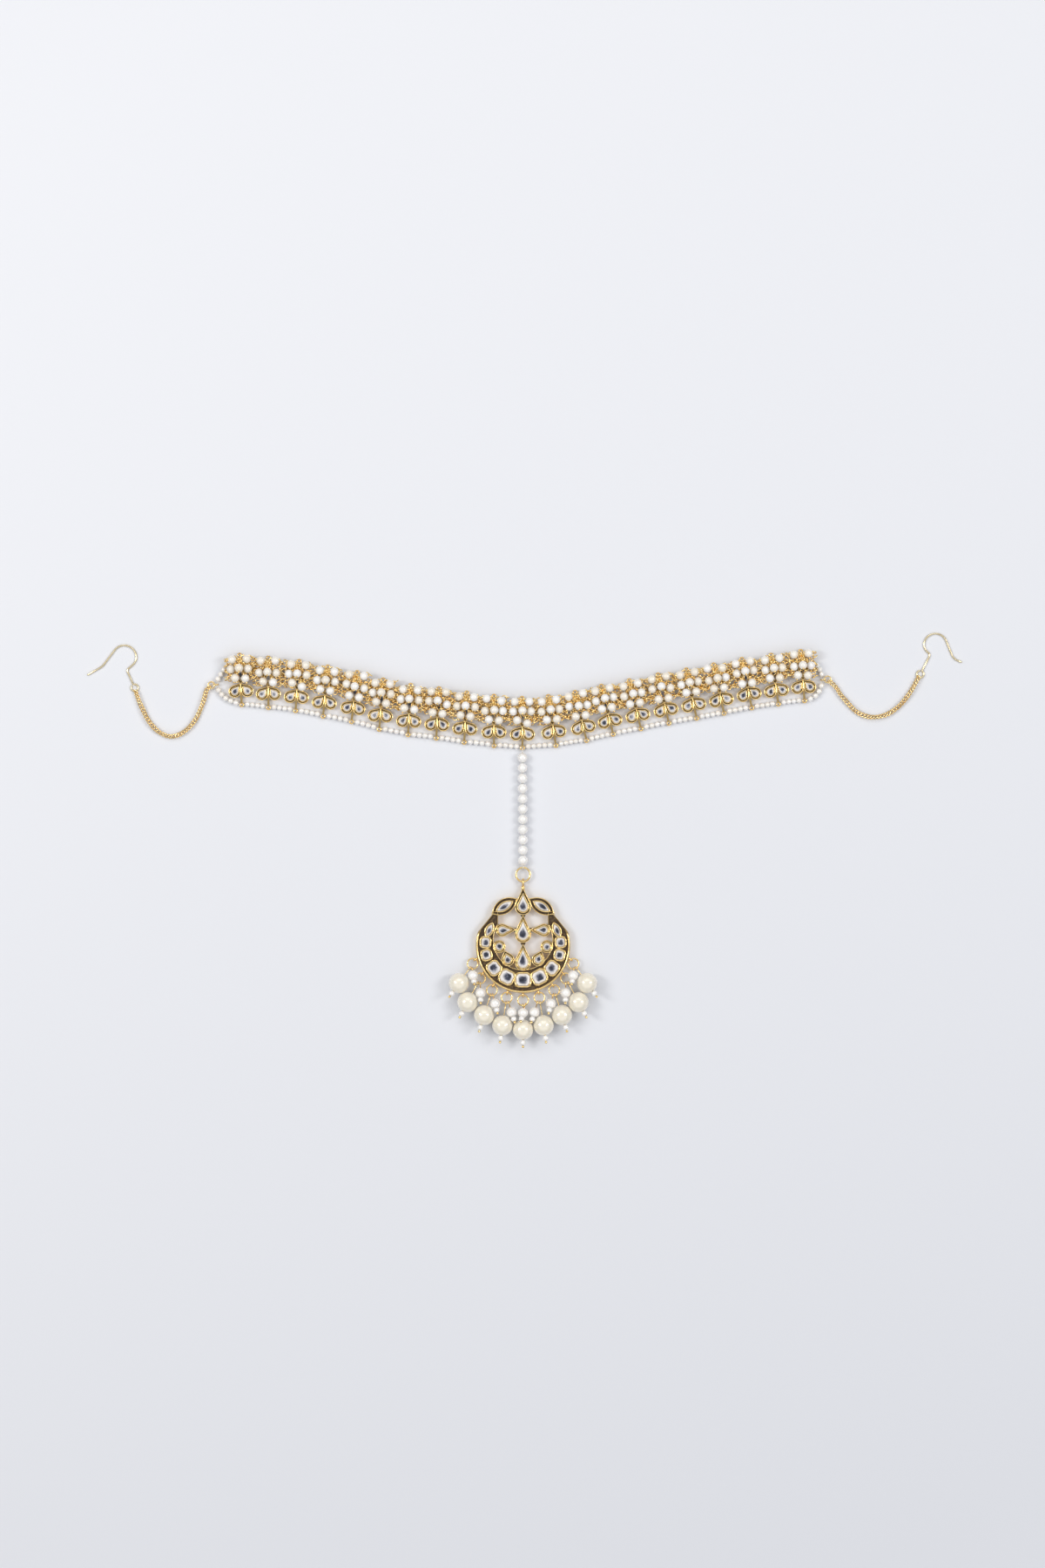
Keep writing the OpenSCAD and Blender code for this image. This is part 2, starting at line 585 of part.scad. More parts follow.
// The drops: a loop on the rim, a jump ring through it, and an eyed pin for each pearl on the ring
function down_at(a) = [sin(a), -cos(a)];
function large_step(k) = (large_d + 0.12) * [cos(drop_headings[k]), sin(drop_headings[k])];
function large_out(k) = k == 0 ? [0, -pendant_r - drop_len] : large_out(k - 1) + large_step(k - 1);
function large_at(k) =
    let (p = large_out(abs(k - mid))) [pendant_at[X] + sign(k - mid) * p[0], pendant_at[Y] + p[1]];
function loop_at(k) = pendant_at + (pendant_r - 0.1 + loop_mid_r) * down_at((k - mid) * loop_step);
function hang(k) = unit(large_at(k) - loop_at(k));
function heading_of(a) = atan2(a[1], a[0]);
function loop_heading(k) = heading_of(hang(k) + down_at((k - mid) * loop_step));
function drop_ring_at(k) = loop_at(k) + (drop_ring_r + 0.12) * hang(k);
function large_eye(k) = drop_ring_at(k) + (drop_ring_r + 0.1) * hang(k);
function flat_to(p, z) = [p[0], p[1], z];
function small_at(s) = let (
    k = s[DROP], aside = s[SIDE] * (small_d / 2 + pin_d / 2 + 0.5),
    reach = (large_d + small_d) / 2 + 0.15,
    along = s[SIDE] == 0 ? middle_along : sqrt(reach * reach - aside * aside - pow(large_z - small_z, 2)),
    p = large_at(k) - along * hang(k) + aside * turned(hang(k), 90)
) flat_to(p, s[SIDE] == 0 ? middle_z : small_z);
function small_way(s) = turned(hang(s[DROP]), s[SIDE] == 0 ? middle_splay : small_splay * s[SIDE]);
function small_eye(s) = flat_to(
    drop_ring_at(s[DROP]) + (drop_ring_r + (s[SIDE] == 0 ? 0 : 0.1)) * small_way(s), loop_z
);
module drop_pin(eye, at, pearl_d) {
    way = unit(at - eye);
    start = eye + eye_mid_r * way;
    head = at + (pearl_d / 2 + seed_d + pin_end_d / 2) * way;
    color("gold") {
        standing_ring(eye, loop_z, heading_of(way), eye_mid_r, pin_d);
        rod(start, head, shaft_d);
        translate(head) sphere(d = pin_end_d);
    }
}
module drilled_pearl(at, way, d, hole) {
    difference() {
        translate(at) sphere(d = d);
        rod(at - d * way, at + d * way, hole);
    }
}
function large_spot(k) = flat_to(large_at(k), large_z);
function large_way(k) = unit(large_spot(k) - flat_to(large_eye(k), loop_z));
function small_pin_way(s) = unit(small_at(s) - small_eye(s));
module large_pearl(k) {
    color("ivory") drilled_pearl(large_spot(k), large_way(k), large_d, pin_d + 0.3);
}
module small_pearls() {
    color("white") for (s = small_drops)
        drilled_pearl(small_at(s), small_pin_way(s), small_d, pin_d + 0.3);
}
module seed_under(at, way, pearl_d) {
    drilled_pearl(at + (pearl_d + seed_d + clear) / 2 * way, way, seed_d, pin_d + 0.2);
}
module drop_seeds() {
    color("white") {
        for (k = [0:drop_n - 1]) seed_under(large_spot(k), large_way(k), large_d);
        for (s = small_drops) seed_under(small_at(s), small_pin_way(s), small_d);
    }
}
module drop_pins() {
    for (k = [0:drop_n - 1]) drop_pin(flat_to(large_eye(k), loop_z), large_spot(k), large_d);
    for (s = small_drops) drop_pin(small_eye(s), small_at(s), small_d);
}
module drop_rings() {
    color("gold") for (k = [0:drop_n - 1]) flat_ring(drop_ring_at(k), loop_z, drop_ring_r, drop_ring_wire);
}
module rim_loops() {
    for (k = [0:drop_n - 1]) standing_ring(loop_at(k), loop_z, loop_heading(k), loop_mid_r, loop_wire);
}

// The band's end links, the chains and the ear hooks
end_z = end_link_r + end_wire / 2 + 0.03;
function end_ring_at(hold, side) = hold + side * [end_link_out + end_link_r + end_ring_step, 0.2];
module end_links(hold, side) {
    color("gold") {
        standing_ring(hold + side * [end_link_out, 0], end_z, 0, end_link_r, end_wire);
        flat_ring(end_ring_at(hold, side), end_z, end_ring_r, end_wire);
    }
}
module chain(route, ring_at, eye_at) {
    last = route[len(route) - 1];
    all = concat(
        [ring_at + (end_ring_d / 2 + 0.2) * unit(route[0] - ring_at)], route,
        [eye_at + (hook_eye_d / 2 + 0.2) * unit(last - eye_at)]
    );
    color("gold") tube([for (p = all) flat_to(p, chain_z)], [for (p = all) chain_w / 2], 8, false);
}
function bend_points(at, heading, s) = let (
    side = sign(s[BEND]), n = ceil(abs(s[BEND]) / 12), mid_at = at + side * s[BEND_R] * down_at(heading + 180)
) [for (k = [1:n]) mid_at + side * s[BEND_R] * down_at(heading + s[BEND] * k / n)];
function wire_path(steps, i, at, heading) = i == len(steps) ? [] : let (
    s = steps[i],
    straight = at + s[RUN] * [cos(heading), sin(heading)],
    bend = s[BEND] == 0 ? [] : bend_points(straight, heading, s),
    last = len(bend) > 0 ? bend[len(bend) - 1] : straight
) concat(s[RUN] > 0 ? [straight] : [], bend, wire_path(steps, i + 1, last, heading + s[BEND]));
module ear_hook(eye_at, start, steps) {
    eye_mid = (hook_eye_d - hook_wire) / 2;
    open = 2 * asin((hook_wire / 2 + 0.1) / eye_mid);
    eye = [for (k = [0:20])
        let (a = start + 90 - (tau - open) * (1 - k / 20)) eye_at + eye_mid * down_at(a)];
    path = concat(eye, wire_path(steps, 0, eye_at + eye_mid * [cos(start), sin(start)], start));
    color("khaki") tube([for (p = path) flat_to(p, hook_z)], [for (p = path) hook_wire / 2], 8, false);
}

for (i = [0:link_n - 1]) band_link(i);
for (k = [0:drop_n - 1]) large_pearl(k);
band_stones();
edge_string();
for (b = [0:len(bunch_nodes) - 1]) pearl_bunches(b);
strand_pearls();
strand_thread();
strand_ring();
pendant_frame();
pendant_stones();
drop_rings();
drop_pins();
drop_seeds();
small_pearls();
end_links(left_hold, -1);  // left_end_links
end_links(right_hold, 1);  // right_end_links
chain(left_route, end_ring_at(left_hold, -1), left_eye_at);  // left_chain
chain(right_route, end_ring_at(right_hold, 1), right_eye_at);  // right_chain
ear_hook(left_eye_at, left_hook_start, left_hook_steps);  // left_ear_hook
ear_hook(right_eye_at, right_hook_start, right_hook_steps);  // right_ear_hook
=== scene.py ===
import math
import random

import bpy
from mathutils import Matrix, Vector


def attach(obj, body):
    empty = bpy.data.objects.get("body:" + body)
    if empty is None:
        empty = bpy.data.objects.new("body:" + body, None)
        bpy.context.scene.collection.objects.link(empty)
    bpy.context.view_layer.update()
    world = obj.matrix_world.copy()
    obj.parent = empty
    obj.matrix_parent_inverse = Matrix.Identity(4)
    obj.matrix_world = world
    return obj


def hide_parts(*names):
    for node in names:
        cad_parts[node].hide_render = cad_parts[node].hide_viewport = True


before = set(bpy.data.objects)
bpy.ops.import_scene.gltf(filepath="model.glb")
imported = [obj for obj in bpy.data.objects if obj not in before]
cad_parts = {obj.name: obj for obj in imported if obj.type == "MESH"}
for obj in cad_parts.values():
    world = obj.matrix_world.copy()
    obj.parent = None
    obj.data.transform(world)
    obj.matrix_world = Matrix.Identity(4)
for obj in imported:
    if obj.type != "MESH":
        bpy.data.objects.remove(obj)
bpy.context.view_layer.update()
rng = random.Random(11)
MM = 0.001

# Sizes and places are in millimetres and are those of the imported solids
# x, y and lean of each link, at its lower ring
BAND = [
    (-107.4, 8.7, 2.5), (-97.2, 7.6, 0), (-86.8, 6.4, -4), (-76.3, 4.3, -5.5), (-65.4, 2.2, -6.5),
    (-54.8, -0.7, -4.5), (-43.8, -2.8, -3.2), (-33, -4.1, -3.2), (-22.3, -5.7, -3), (-10.9, -7, 0),
    (0, -7.8, 0.6), (12.8, -6.9, 9), (24.5, -5, 13.5), (34.7, -2.6, 13.8), (45.3, -0.5, 13.5),
    (56, 1.6, 12.6), (66.6, 3.5, 12), (77.1, 5.4, 12), (87.7, 7.5, 11.5), (97.9, 8.9, 8.5),
    (107.9, 10.2, 4.5),
]
# The string's pearls round each end of the band, and where the end's link holds it
RIGHT_TURN = [(110.6, 11.1), (112.9, 12.6), (114.2, 15.2)]
RIGHT_HOLD = (114.5, 18.2)
RIGHT_BACK = [(114.3, 21), (112.9, 23.6), (110.6, 25)]
LEFT_TURN = [(-111.2, 23.6), (-114.2, 22.2), (-116.2, 19.4)]
LEFT_HOLD = (-116.8, 16.4)
LEFT_BACK = [(-116, 13.6), (-113.8, 11.4), (-111, 9.8)]
# Routes of the side chains, from the band's end to the hook's eye
LEFT_ROUTE = [
    (-120.9, 14.2), (-121.9, 10.6), (-123.6, 6), (-125.5, 2.5), (-128.1, -0.5), (-131.3, -2.7),
    (-134.9, -3.4), (-138.3, -2.2), (-141, 0), (-143.3, 3), (-145.4, 7.2), (-146.8, 10.4), (-147.7, 12.9),
]
RIGHT_ROUTE = [
    (119.9, 15.4), (121.5, 12.9), (124.2, 9.6), (127.1, 6.6), (130.1, 4.8), (133.6, 4),
    (137, 4.3), (140.2, 5.4), (143.5, 7.7), (146.5, 10.9), (148.9, 14.4), (150.8, 17.9),
]
LEFT_EYE = (-148.4, 15.2)
RIGHT_EYE = (152.2, 20.4)
# Steps of an ear hook's wire: straight length, then radius and angle of a bend
LEFT_STEPS = [(5.2, 1.2, -72), (2.4, 3.6, 48), (0, 4.6, 143), (6.8, 5, -23), (5.6, 1, 0)]
RIGHT_STEPS = [(6.2, 1.2, 76), (0.6, 3.6, -60), (0, 4.4, -147), (5.6, 4.4, 46), (1.6, 1, 0)]
# The heading in which each hook's wire leaves its eye
LEFT_START, RIGHT_START = 114, 63
# Across, up and lift of each pearl in a bunch
BUNCH = [
    (-2.8, 17.6, 0.1), (2.9, 17.5, 0.3), (-3.3, 13.7, 0.1), (0, 13.9, 2), (3.25, 13.5, 0),
    (-2, 10.1, 0.2), (1.9, 9.7, 0),
]
LINKS_A_NODE = 7

RING_RISE, TOP_RISE = 15.6, 19
RING_Z, RING_MID, RING_WIRE = 1.05, 0.69, 0.54
PETAL_RISE, PETAL_OUT, PETAL_SPLAY = 8, 3.75, 40
PETAL_R, PETAL_TIP, RIM_W = 2.25, 3.9, 0.3
LINK_FLOOR, LINK_GROOVE, LINK_H = 0.7, 1.1, 1.9
EDGE_D, EDGE_THREAD, STRING_SHIFT, STRING_GAP = 2.15, 0.22, 0.45, 1.2
# How far over or under a ring's wire the thread's middle passes, and how far the pearls stop short of
# the link that holds an end
STRING_LIFT, HOLD_GAP = 0.3, 1.15
STRING_Z = EDGE_D / 2 + 0.03
BUNCH_D, BUNCH_Z, BUNCH_SHIFT, BUNCH_LIFT = 3.3, 4.1, 0.45, 0.6
COLLAR_V = (RING_RISE + TOP_RISE) / 2 - 0.1
KNOT_Z = BUNCH_Z - 0.5
TABLE_RISE = 0.2
STONE_GAP = 0.12
PENDANT = (0.2, -83.43)
PENDANT_R, PENDANT_FLOOR, PENDANT_GROOVE, PENDANT_H = 18, 1.4, 2.4, 3
OUTER_RIM, INNER_R, INNER_UP = 0.8, 11.3, 2.2
HOOK_WIRE, HOOK_EYE, HOOK_Z = 0.7, 3.4, 0.37
CHAIN_Z = 1.02
# Radius of the rings at the band's ends, and their place beyond the string's holding point
END_RING_R = 1.25
END_RING_STEP = (2.2, 0.2)
# Kind, x, y, turn of the tip from straight up, length and width of the pendant's inner stones
INNER = [
    ("pear", 0, 16.2, 0, 6.4, 3.8), ("pear", 0, 5.8, 0, 7.2, 4.2), ("pear", 0, -5, 0, 7, 4.2),
    ("pear", -7.1, 6, 88, 4.7, 2.9), ("pear", 7.1, 6, -88, 4.7, 2.9),
    ("marquise", -7.1, 15.1, 59, 6.6, 2.6), ("marquise", 7.1, 15.1, -59, 6.6, 2.6),
    ("round", -9.1, -0.3, 0, 2.8, 2.8), ("round", 9.1, -0.3, 0, 2.8, 2.8),
    ("pear", -5.9, -5, -20, 3.4, 2.7), ("pear", 5.9, -5, 20, 3.4, 2.7),
]
# How far the setting of each inner stone reaches beyond it
REACHES = (1.2, 1, 1, 1, 1, 1.6, 1.6, 1, 1, 1.1, 1.1)
# Angle from straight down, kind, length, width and share of the radius of the crescent's stones
CRESCENT = [
    (0, "square", 4.6, 5.4, 0.72), (27.5, "square", 4.6, 5, 0.745), (52.5, "square", 4.3, 4.5, 0.775),
    (76, "square", 3.3, 3.4, 0.8), (95.5, "square", 3.3, 3.4, 0.8), (115, "marquise", 5, 2.2, 0.79),
]


# Small geometry helpers
def rad(a):
    return math.radians(a)


def turned(p, a):
    c, s = math.cos(rad(a)), math.sin(rad(a))
    return Vector((p[0] * c - p[1] * s, p[0] * s + p[1] * c))


def down_at(a):
    """The direction at an angle counted from straight down."""
    return Vector((math.sin(rad(a)), -math.cos(rad(a))))


def wobble(n):
    """An even spread of numbers between -1 and 1, the same as in the solids."""
    return 2 * (n * 0.618034 - math.floor(n * 0.618034)) - 1


def on_link(i, u, v):
    """The point across (u) and up (v) from the lower ring of link i."""
    x, y, lean = BAND[i]
    return Vector((x, y)) + turned((u, v), lean)


def at_z(p, z):
    return Vector((p[0], p[1], z))


def bunch_pearl(i, j):
    """The middle of pearl j of link i's bunch."""
    u, v, lift = BUNCH[j]
    n = len(BUNCH) * i + j
    p = on_link(i, u + BUNCH_SHIFT / 3 * wobble(3 * n + 1), v + BUNCH_SHIFT * wobble(5 * n + 2))
    return at_z(p, BUNCH_Z + lift + BUNCH_LIFT * (1 + wobble(11 * n + 4)) / 2)


def across(way):
    """Two directions square to way and to each other, the first of them level."""
    side = way.cross(Vector((0, 0, 1)))
    if side.length < 1e-4:
        side = Vector((1, 0, 0))
    side.normalize()
    return side, side.cross(way)


# The tint of wires and their balls, which their surfaces don't use
PLAIN_TINT = 0.5


class Shape:
    """The faces of one mesh, gathered in millimetres, with a tint for each face or for each point."""

    def __init__(self):
        self.verts, self.faces, self.tints = [], [], []

    def add(self, verts, faces, tints):
        """Adds faces; tints is one number, or a list with one for each face or each point."""
        n = len(self.verts)
        self.verts.extend(verts)
        self.faces.extend(tuple(k + n for k in f) for f in faces)
        self.tints.extend(tints if isinstance(tints, list) else [tints] * len(faces))

    def build(self, name, material, slot, nodes=(), smooth=True):
        mesh = bpy.data.meshes.new(name)
        mesh.from_pydata([tuple(c * MM for c in v) for v in self.verts], [], self.faces)
        mesh.polygons.foreach_set("use_smooth", [smooth] * len(self.faces))
        tint = mesh.attributes.new("tint", "FLOAT", "FACE" if len(self.tints) == len(self.faces) else "POINT")
        tint.data.foreach_set("value", self.tints)
        mesh.materials.append(material)
        mesh.update()
        piece = bpy.data.objects.new(name, mesh)
        bpy.context.scene.collection.objects.link(piece)
        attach(piece, "root")
        if nodes:
            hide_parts(*nodes)
        return piece


BALLS = {}


def unit_ball(sides, rows):
    """Points and faces of a ball of radius 1, kept for the next ball with as many sides and rows."""
    if (sides, rows) not in BALLS:
        verts = [Vector((0, 0, 1))]
        for r in range(1, rows):
            a = math.pi * r / rows
            verts += [Vector((math.sin(a) * math.cos(math.tau * k / sides),
                              math.sin(a) * math.sin(math.tau * k / sides), math.cos(a)))
                      for k in range(sides)]
        verts.append(Vector((0, 0, -1)))
        last = len(verts) - 1
        faces = []
        for k in range(sides):
            m = (k + 1) % sides
            faces.append((0, 1 + k, 1 + m))
            for r in range(rows - 2):
                a, b = 1 + r * sides, 1 + (r + 1) * sides
                faces.append((a + k, b + k, b + m, a + m))
            a = 1 + (rows - 2) * sides
            faces.append((a + k, last, a + m))
        BALLS[(sides, rows)] = verts, faces
    return BALLS[(sides, rows)]


def ball(shape, at, d, tint, sides, rows, way=(0, 0, 1), squash=1.0):
    """A ball with its poles on the line along way, shortened along it where squash is under 1."""
    verts, faces = unit_ball(sides, rows)
    turn = Vector((0, 0, 1)).rotation_difference(Vector(way)).to_matrix() @ Matrix.Diagonal((1, 1, squash))
    shape.add([Vector(at) + turn @ (v * d / 2) for v in verts], faces, tint)


def tube(shape, points, radius, sides=8, closed=False):
    """A round wire along points; radius is one number, or one for each point."""
    n = len(points)
    points = [Vector(p) for p in points]
    radii = radius if isinstance(radius, list) else [radius] * n
    ways = []
    for k in range(n):
        a = points[(k - 1) % n if closed else max(k - 1, 0)]
        b = points[(k + 1) % n if closed else min(k + 1, n - 1)]
        ways.append((b - a).normalized())
    side = across(ways[0])[0]
    verts = []
    for k in range(n):
        side = (side - ways[k] * side.dot(ways[k])).normalized()
        up = ways[k].cross(side)
        for s in range(sides):
            a = math.tau * s / sides
            verts.append(points[k] + radii[k] * (math.cos(a) * side + math.sin(a) * up))
    faces = [(k * sides + s, k * sides + (s + 1) % sides,
              (k + 1) % n * sides + (s + 1) % sides, (k + 1) % n * sides + s)
             for k in range(n if closed else n - 1) for s in range(sides)]
    if not closed:
        faces += [tuple(range(sides - 1, -1, -1)), tuple((n - 1) * sides + s for s in range(sides))]
    shape.add(verts, faces, PLAIN_TINT)


def ring(shape, at, radius, wire, axis, segments, sides, stretch=1.0, along=None):
    """A closed ring of wire round an axis, longer along one direction where stretch is over 1."""
    axis = Vector(axis).normalized()
    side = Vector(along).normalized() if along is not None else across(axis)[0]
    up = axis.cross(side)
    points = [Vector(at) + radius * (stretch * math.cos(a) * side + math.sin(a) * up)
              for a in (math.tau * k / segments for k in range(segments))]
    tube(shape, points, wire / 2, sides=sides, closed=True)


def coil(shape, start, end, radius, wire, turns, steps, sides=6):
    """A wire wound round the straight line from start to end."""
    start, end = Vector(start), Vector(end)
    way = (end - start).normalized()
    side, up = across(way)
    n = int(turns * steps)
    points = []
    for k in range(n + 1):
        a = math.tau * k / steps
        points.append(start.lerp(end, k / n) + radius * (math.cos(a) * side + math.sin(a) * up))
    tube(shape, points, wire / 2, sides=sides)


def smooth_route(points, step):
    """Points a step apart on a smooth curve through the route's points."""
    pts = [Vector((p[0], p[1], 0)) for p in points]
    dense = []
    for k in range(len(pts) - 1):
        p0, p1, p2, p3 = pts[max(k - 1, 0)], pts[k], pts[k + 1], pts[min(k + 2, len(pts) - 1)]
        for m in range(12):
            t = m / 12
            dense.append(0.5 * (2 * p1 + (p2 - p0) * t + (2 * p0 - 5 * p1 + 4 * p2 - p3) * t * t
                                + (3 * p1 - p0 - 3 * p2 + p3) * t ** 3))
    dense.append(pts[-1])
    lengths = [0.0]
    for a, b in zip(dense, dense[1:]):
        lengths.append(lengths[-1] + (b - a).length)
    n = max(2, round(lengths[-1] / step))
    out, k = [], 0
    for m in range(n + 1):
        want = lengths[-1] * m / n
        while k < len(dense) - 2 and lengths[k + 1] < want:
            k += 1
        share = (want - lengths[k]) / max(lengths[k + 1] - lengths[k], 1e-9)
        out.append(dense[k].lerp(dense[k + 1], min(share, 1)))
    return out


# Materials
def material(name):
    m = bpy.data.materials.new(name)
    m.use_nodes = True
    nodes, links = m.node_tree.nodes, m.node_tree.links
    return m, nodes, links, nodes["Principled BSDF"]


def node(nodes, kind, **values):
    n = nodes.new(kind)
    for key, value in values.items():
        setattr(n, key, value)
    return n


def math_node(nodes, links, kind, a, b, clamp=False):
    n = node(nodes, "ShaderNodeMath", operation=kind, use_clamp=clamp)
    for socket, value in zip(n.inputs, (a, b)):
        if isinstance(value, (int, float)):
            socket.default_value = value
        else:
            links.new(value, socket)
    return n.outputs[0]


def noise_node(nodes, links, scale, detail=3.0, rough=0.55):
    coord = node(nodes, "ShaderNodeTexCoord")
    n = node(nodes, "ShaderNodeTexNoise")
    links.new(coord.outputs["Object"], n.inputs["Vector"])
    n.inputs["Scale"].default_value = scale
    n.inputs["Detail"].default_value = detail
    n.inputs["Roughness"].default_value = rough
    return n.outputs["Fac"]


def ramp_node(nodes, links, fac, stops):
    n = node(nodes, "ShaderNodeValToRGB")
    while len(n.color_ramp.elements) < len(stops):
        n.color_ramp.elements.new(0.5)
    for e, (place, colour) in zip(n.color_ramp.elements, stops):
        e.position = place
        e.color = (*colour, 1)
    links.new(fac, n.inputs["Fac"])
    return n.outputs["Color"]


def bump_node(nodes, links, height, strength, distance, bsdf):
    n = node(nodes, "ShaderNodeBump")
    n.inputs["Strength"].default_value = strength
    n.inputs["Distance"].default_value = distance
    links.new(height, n.inputs["Height"])
    links.new(n.outputs["Normal"], bsdf.inputs["Normal"])


def gold(name, light, deep, rough, wear=900, bump=0.12):
    """Polished plated metal: colour and gloss drift a little with handling."""
    m, nodes, links, bsdf = material(name)
    cloud = noise_node(nodes, links, wear)
    links.new(ramp_node(nodes, links, cloud, [(0.3, deep), (0.7, light)]), bsdf.inputs["Base Color"])
    bsdf.inputs["Metallic"].default_value = 1.0
    fine = noise_node(nodes, links, wear * 4)
    spread = node(nodes, "ShaderNodeMapRange")
    spread.inputs["To Min"].default_value = rough * 0.7
    spread.inputs["To Max"].default_value = rough * 1.5
    links.new(fine, spread.inputs["Value"])
    links.new(spread.outputs["Result"], bsdf.inputs["Roughness"])
    bump_node(nodes, links, fine, bump, 0.00008, bsdf)
    return m


# Share of the open sky over a wall at which the antiquing starts, and at which it is full
OPEN_SHARE, HIDDEN_SHARE = 0.62, 0.3
FLOOR_BAND = 0.06


def antique_gold(name, groove_mm, light, deep, dark):
    """Cast gold with dark brown antiquing: in the grooves' floors and wherever the form is recessed."""
    # a floor is a level face within FLOOR_BAND of the grooves' height
    m, nodes, links, bsdf = material(name)
    coord = node(nodes, "ShaderNodeTexCoord")
    place = node(nodes, "ShaderNodeSeparateXYZ")
    links.new(coord.outputs["Object"], place.inputs[0])
    facing = node(nodes, "ShaderNodeSeparateXYZ")
    geometry = node(nodes, "ShaderNodeNewGeometry")
    links.new(geometry.outputs["True Normal"], facing.inputs[0])
    off = math_node(nodes, links, "ABSOLUTE", math_node(
        nodes, links, "SUBTRACT", place.outputs["Z"], groove_mm * MM), 0.0)
    near = math_node(nodes, links, "LESS_THAN", off, FLOOR_BAND * MM)
    level = math_node(nodes, links, "GREATER_THAN", facing.outputs["Z"], 0.8)
    floor_mask = math_node(nodes, links, "MULTIPLY", near, level)
    hidden = node(nodes, "ShaderNodeAmbientOcclusion", samples=6)
    hidden.inputs["Distance"].default_value = 0.9 * MM
    recess = node(nodes, "ShaderNodeMapRange")
    recess.inputs["From Min"].default_value = OPEN_SHARE
    recess.inputs["From Max"].default_value = HIDDEN_SHARE
    links.new(hidden.outputs["AO"], recess.inputs["Value"])
    steep = math_node(nodes, links, "SUBTRACT", 1.0, level)
    blotch = noise_node(nodes, links, 1400, 4)
    broken = math_node(nodes, links, "MULTIPLY_ADD", blotch, 1.1)
    broken.node.inputs[2].default_value = 0.15
    walls = math_node(nodes, links, "MULTIPLY", math_node(
        nodes, links, "MULTIPLY", recess.outputs["Result"], steep), broken, True)
    floor_part = math_node(nodes, links, "MULTIPLY", floor_mask, math_node(
        nodes, links, "ADD", 0.74, math_node(nodes, links, "MULTIPLY", blotch, 0.5)), True)
    mask = math_node(nodes, links, "MAXIMUM", walls, floor_part, True)
    base = ramp_node(nodes, links, noise_node(nodes, links, 700), [(0.3, deep), (0.7, light)])
    mix = node(nodes, "ShaderNodeMix", data_type="RGBA")
    links.new(mask, mix.inputs["Factor"])
    links.new(base, mix.inputs["A"])
    mix.inputs["B"].default_value = (*dark, 1)
    links.new(mix.outputs["Result"], bsdf.inputs["Base Color"])
    metal = node(nodes, "ShaderNodeMapRange")
    metal.inputs["To Min"].default_value = 1.0
    metal.inputs["To Max"].default_value = 0.15
    links.new(mask, metal.inputs["Value"])
    links.new(metal.outputs["Result"], bsdf.inputs["Metallic"])
    gloss = node(nodes, "ShaderNodeMapRange")
    gloss.inputs["To Min"].default_value = 0.2
    gloss.inputs["To Max"].default_value = 0.65
    links.new(mask, gloss.inputs["Value"])
    links.new(gloss.outputs["Result"], bsdf.inputs["Roughness"])
    bump_node(nodes, links, noise_node(nodes, links, 2200, 4), 0.35, 0.00012, bsdf)
    return m


def pearl(name, pale, warm, rough=0.2):
    """Imitation pearl: a soft body under a clear lacquer, with a tint that varies from pearl to pearl."""
    m, nodes, links, bsdf = material(name)
    tint = node(nodes, "ShaderNodeAttribute", attribute_name="tint")
    drift = math_node(nodes, links, "MULTIPLY_ADD", noise_node(nodes, links, 260, 2), 0.5)
    drift.node.inputs[2].default_value = -0.25
    fac = math_node(nodes, links, "ADD", tint.outputs["Fac"], drift, True)
    links.new(ramp_node(nodes, links, fac, [(0.0, pale), (1.0, warm)]), bsdf.inputs["Base Color"])
    bsdf.inputs["Roughness"].default_value = rough
    bsdf.inputs["Specular IOR Level"].default_value = 0.6
    bsdf.inputs["Subsurface Weight"].default_value = 0.12
    bsdf.inputs["Subsurface Radius"].default_value = (0.6 * MM, 0.5 * MM, 0.4 * MM)
    bsdf.inputs["Subsurface Scale"].default_value = 1.0
    bsdf.inputs["Coat Weight"].default_value = 1.0
    bsdf.inputs["Coat IOR"].default_value = 1.7
    bsdf.inputs["Coat Roughness"].default_value = 0.08
    bsdf.inputs["Sheen Weight"].default_value = 0.08
    bump_node(nodes, links, noise_node(nodes, links, 1500, 2), 0.05, 0.00006, bsdf)
    return m


def foiled_stone(name):
    """Clear glass over silver foil, with painted reflections: each facet's tint paints it near black, for the
    dark overhead it reflects, up to white, for a painted highlight.
    """
    m, nodes, links, bsdf = material(name)
    tint = node(nodes, "ShaderNodeAttribute", attribute_name="tint")
    drift = math_node(nodes, links, "MULTIPLY_ADD", noise_node(nodes, links, 1300, 3), 0.35)
    drift.node.inputs[2].default_value = -0.175
    fac = math_node(nodes, links, "ADD", tint.outputs["Fac"], drift, True)
    # painted reflection and highlight: the ramp runs from near black for the reflected dark overhead to white
    # for bright glints
    links.new(ramp_node(nodes, links, fac, [
        (0.0, (0.02, 0.023, 0.035)), (0.22, (0.09, 0.095, 0.13)), (0.45, (0.52, 0.51, 0.53)),
        (0.75, (0.95, 0.93, 0.92)), (1.0, (1.0, 0.99, 0.98)),
    ]), bsdf.inputs["Base Color"])
    bsdf.inputs["Metallic"].default_value = 0.12
    bsdf.inputs["Roughness"].default_value = 0.14
    bsdf.inputs["Coat Weight"].default_value = 1.0
    bsdf.inputs["Coat Roughness"].default_value = 0.02
    bsdf.inputs["Coat IOR"].default_value = 1.55
    bump_node(nodes, links, noise_node(nodes, links, 800, 2), 0.08, 0.0001, bsdf)
    return m


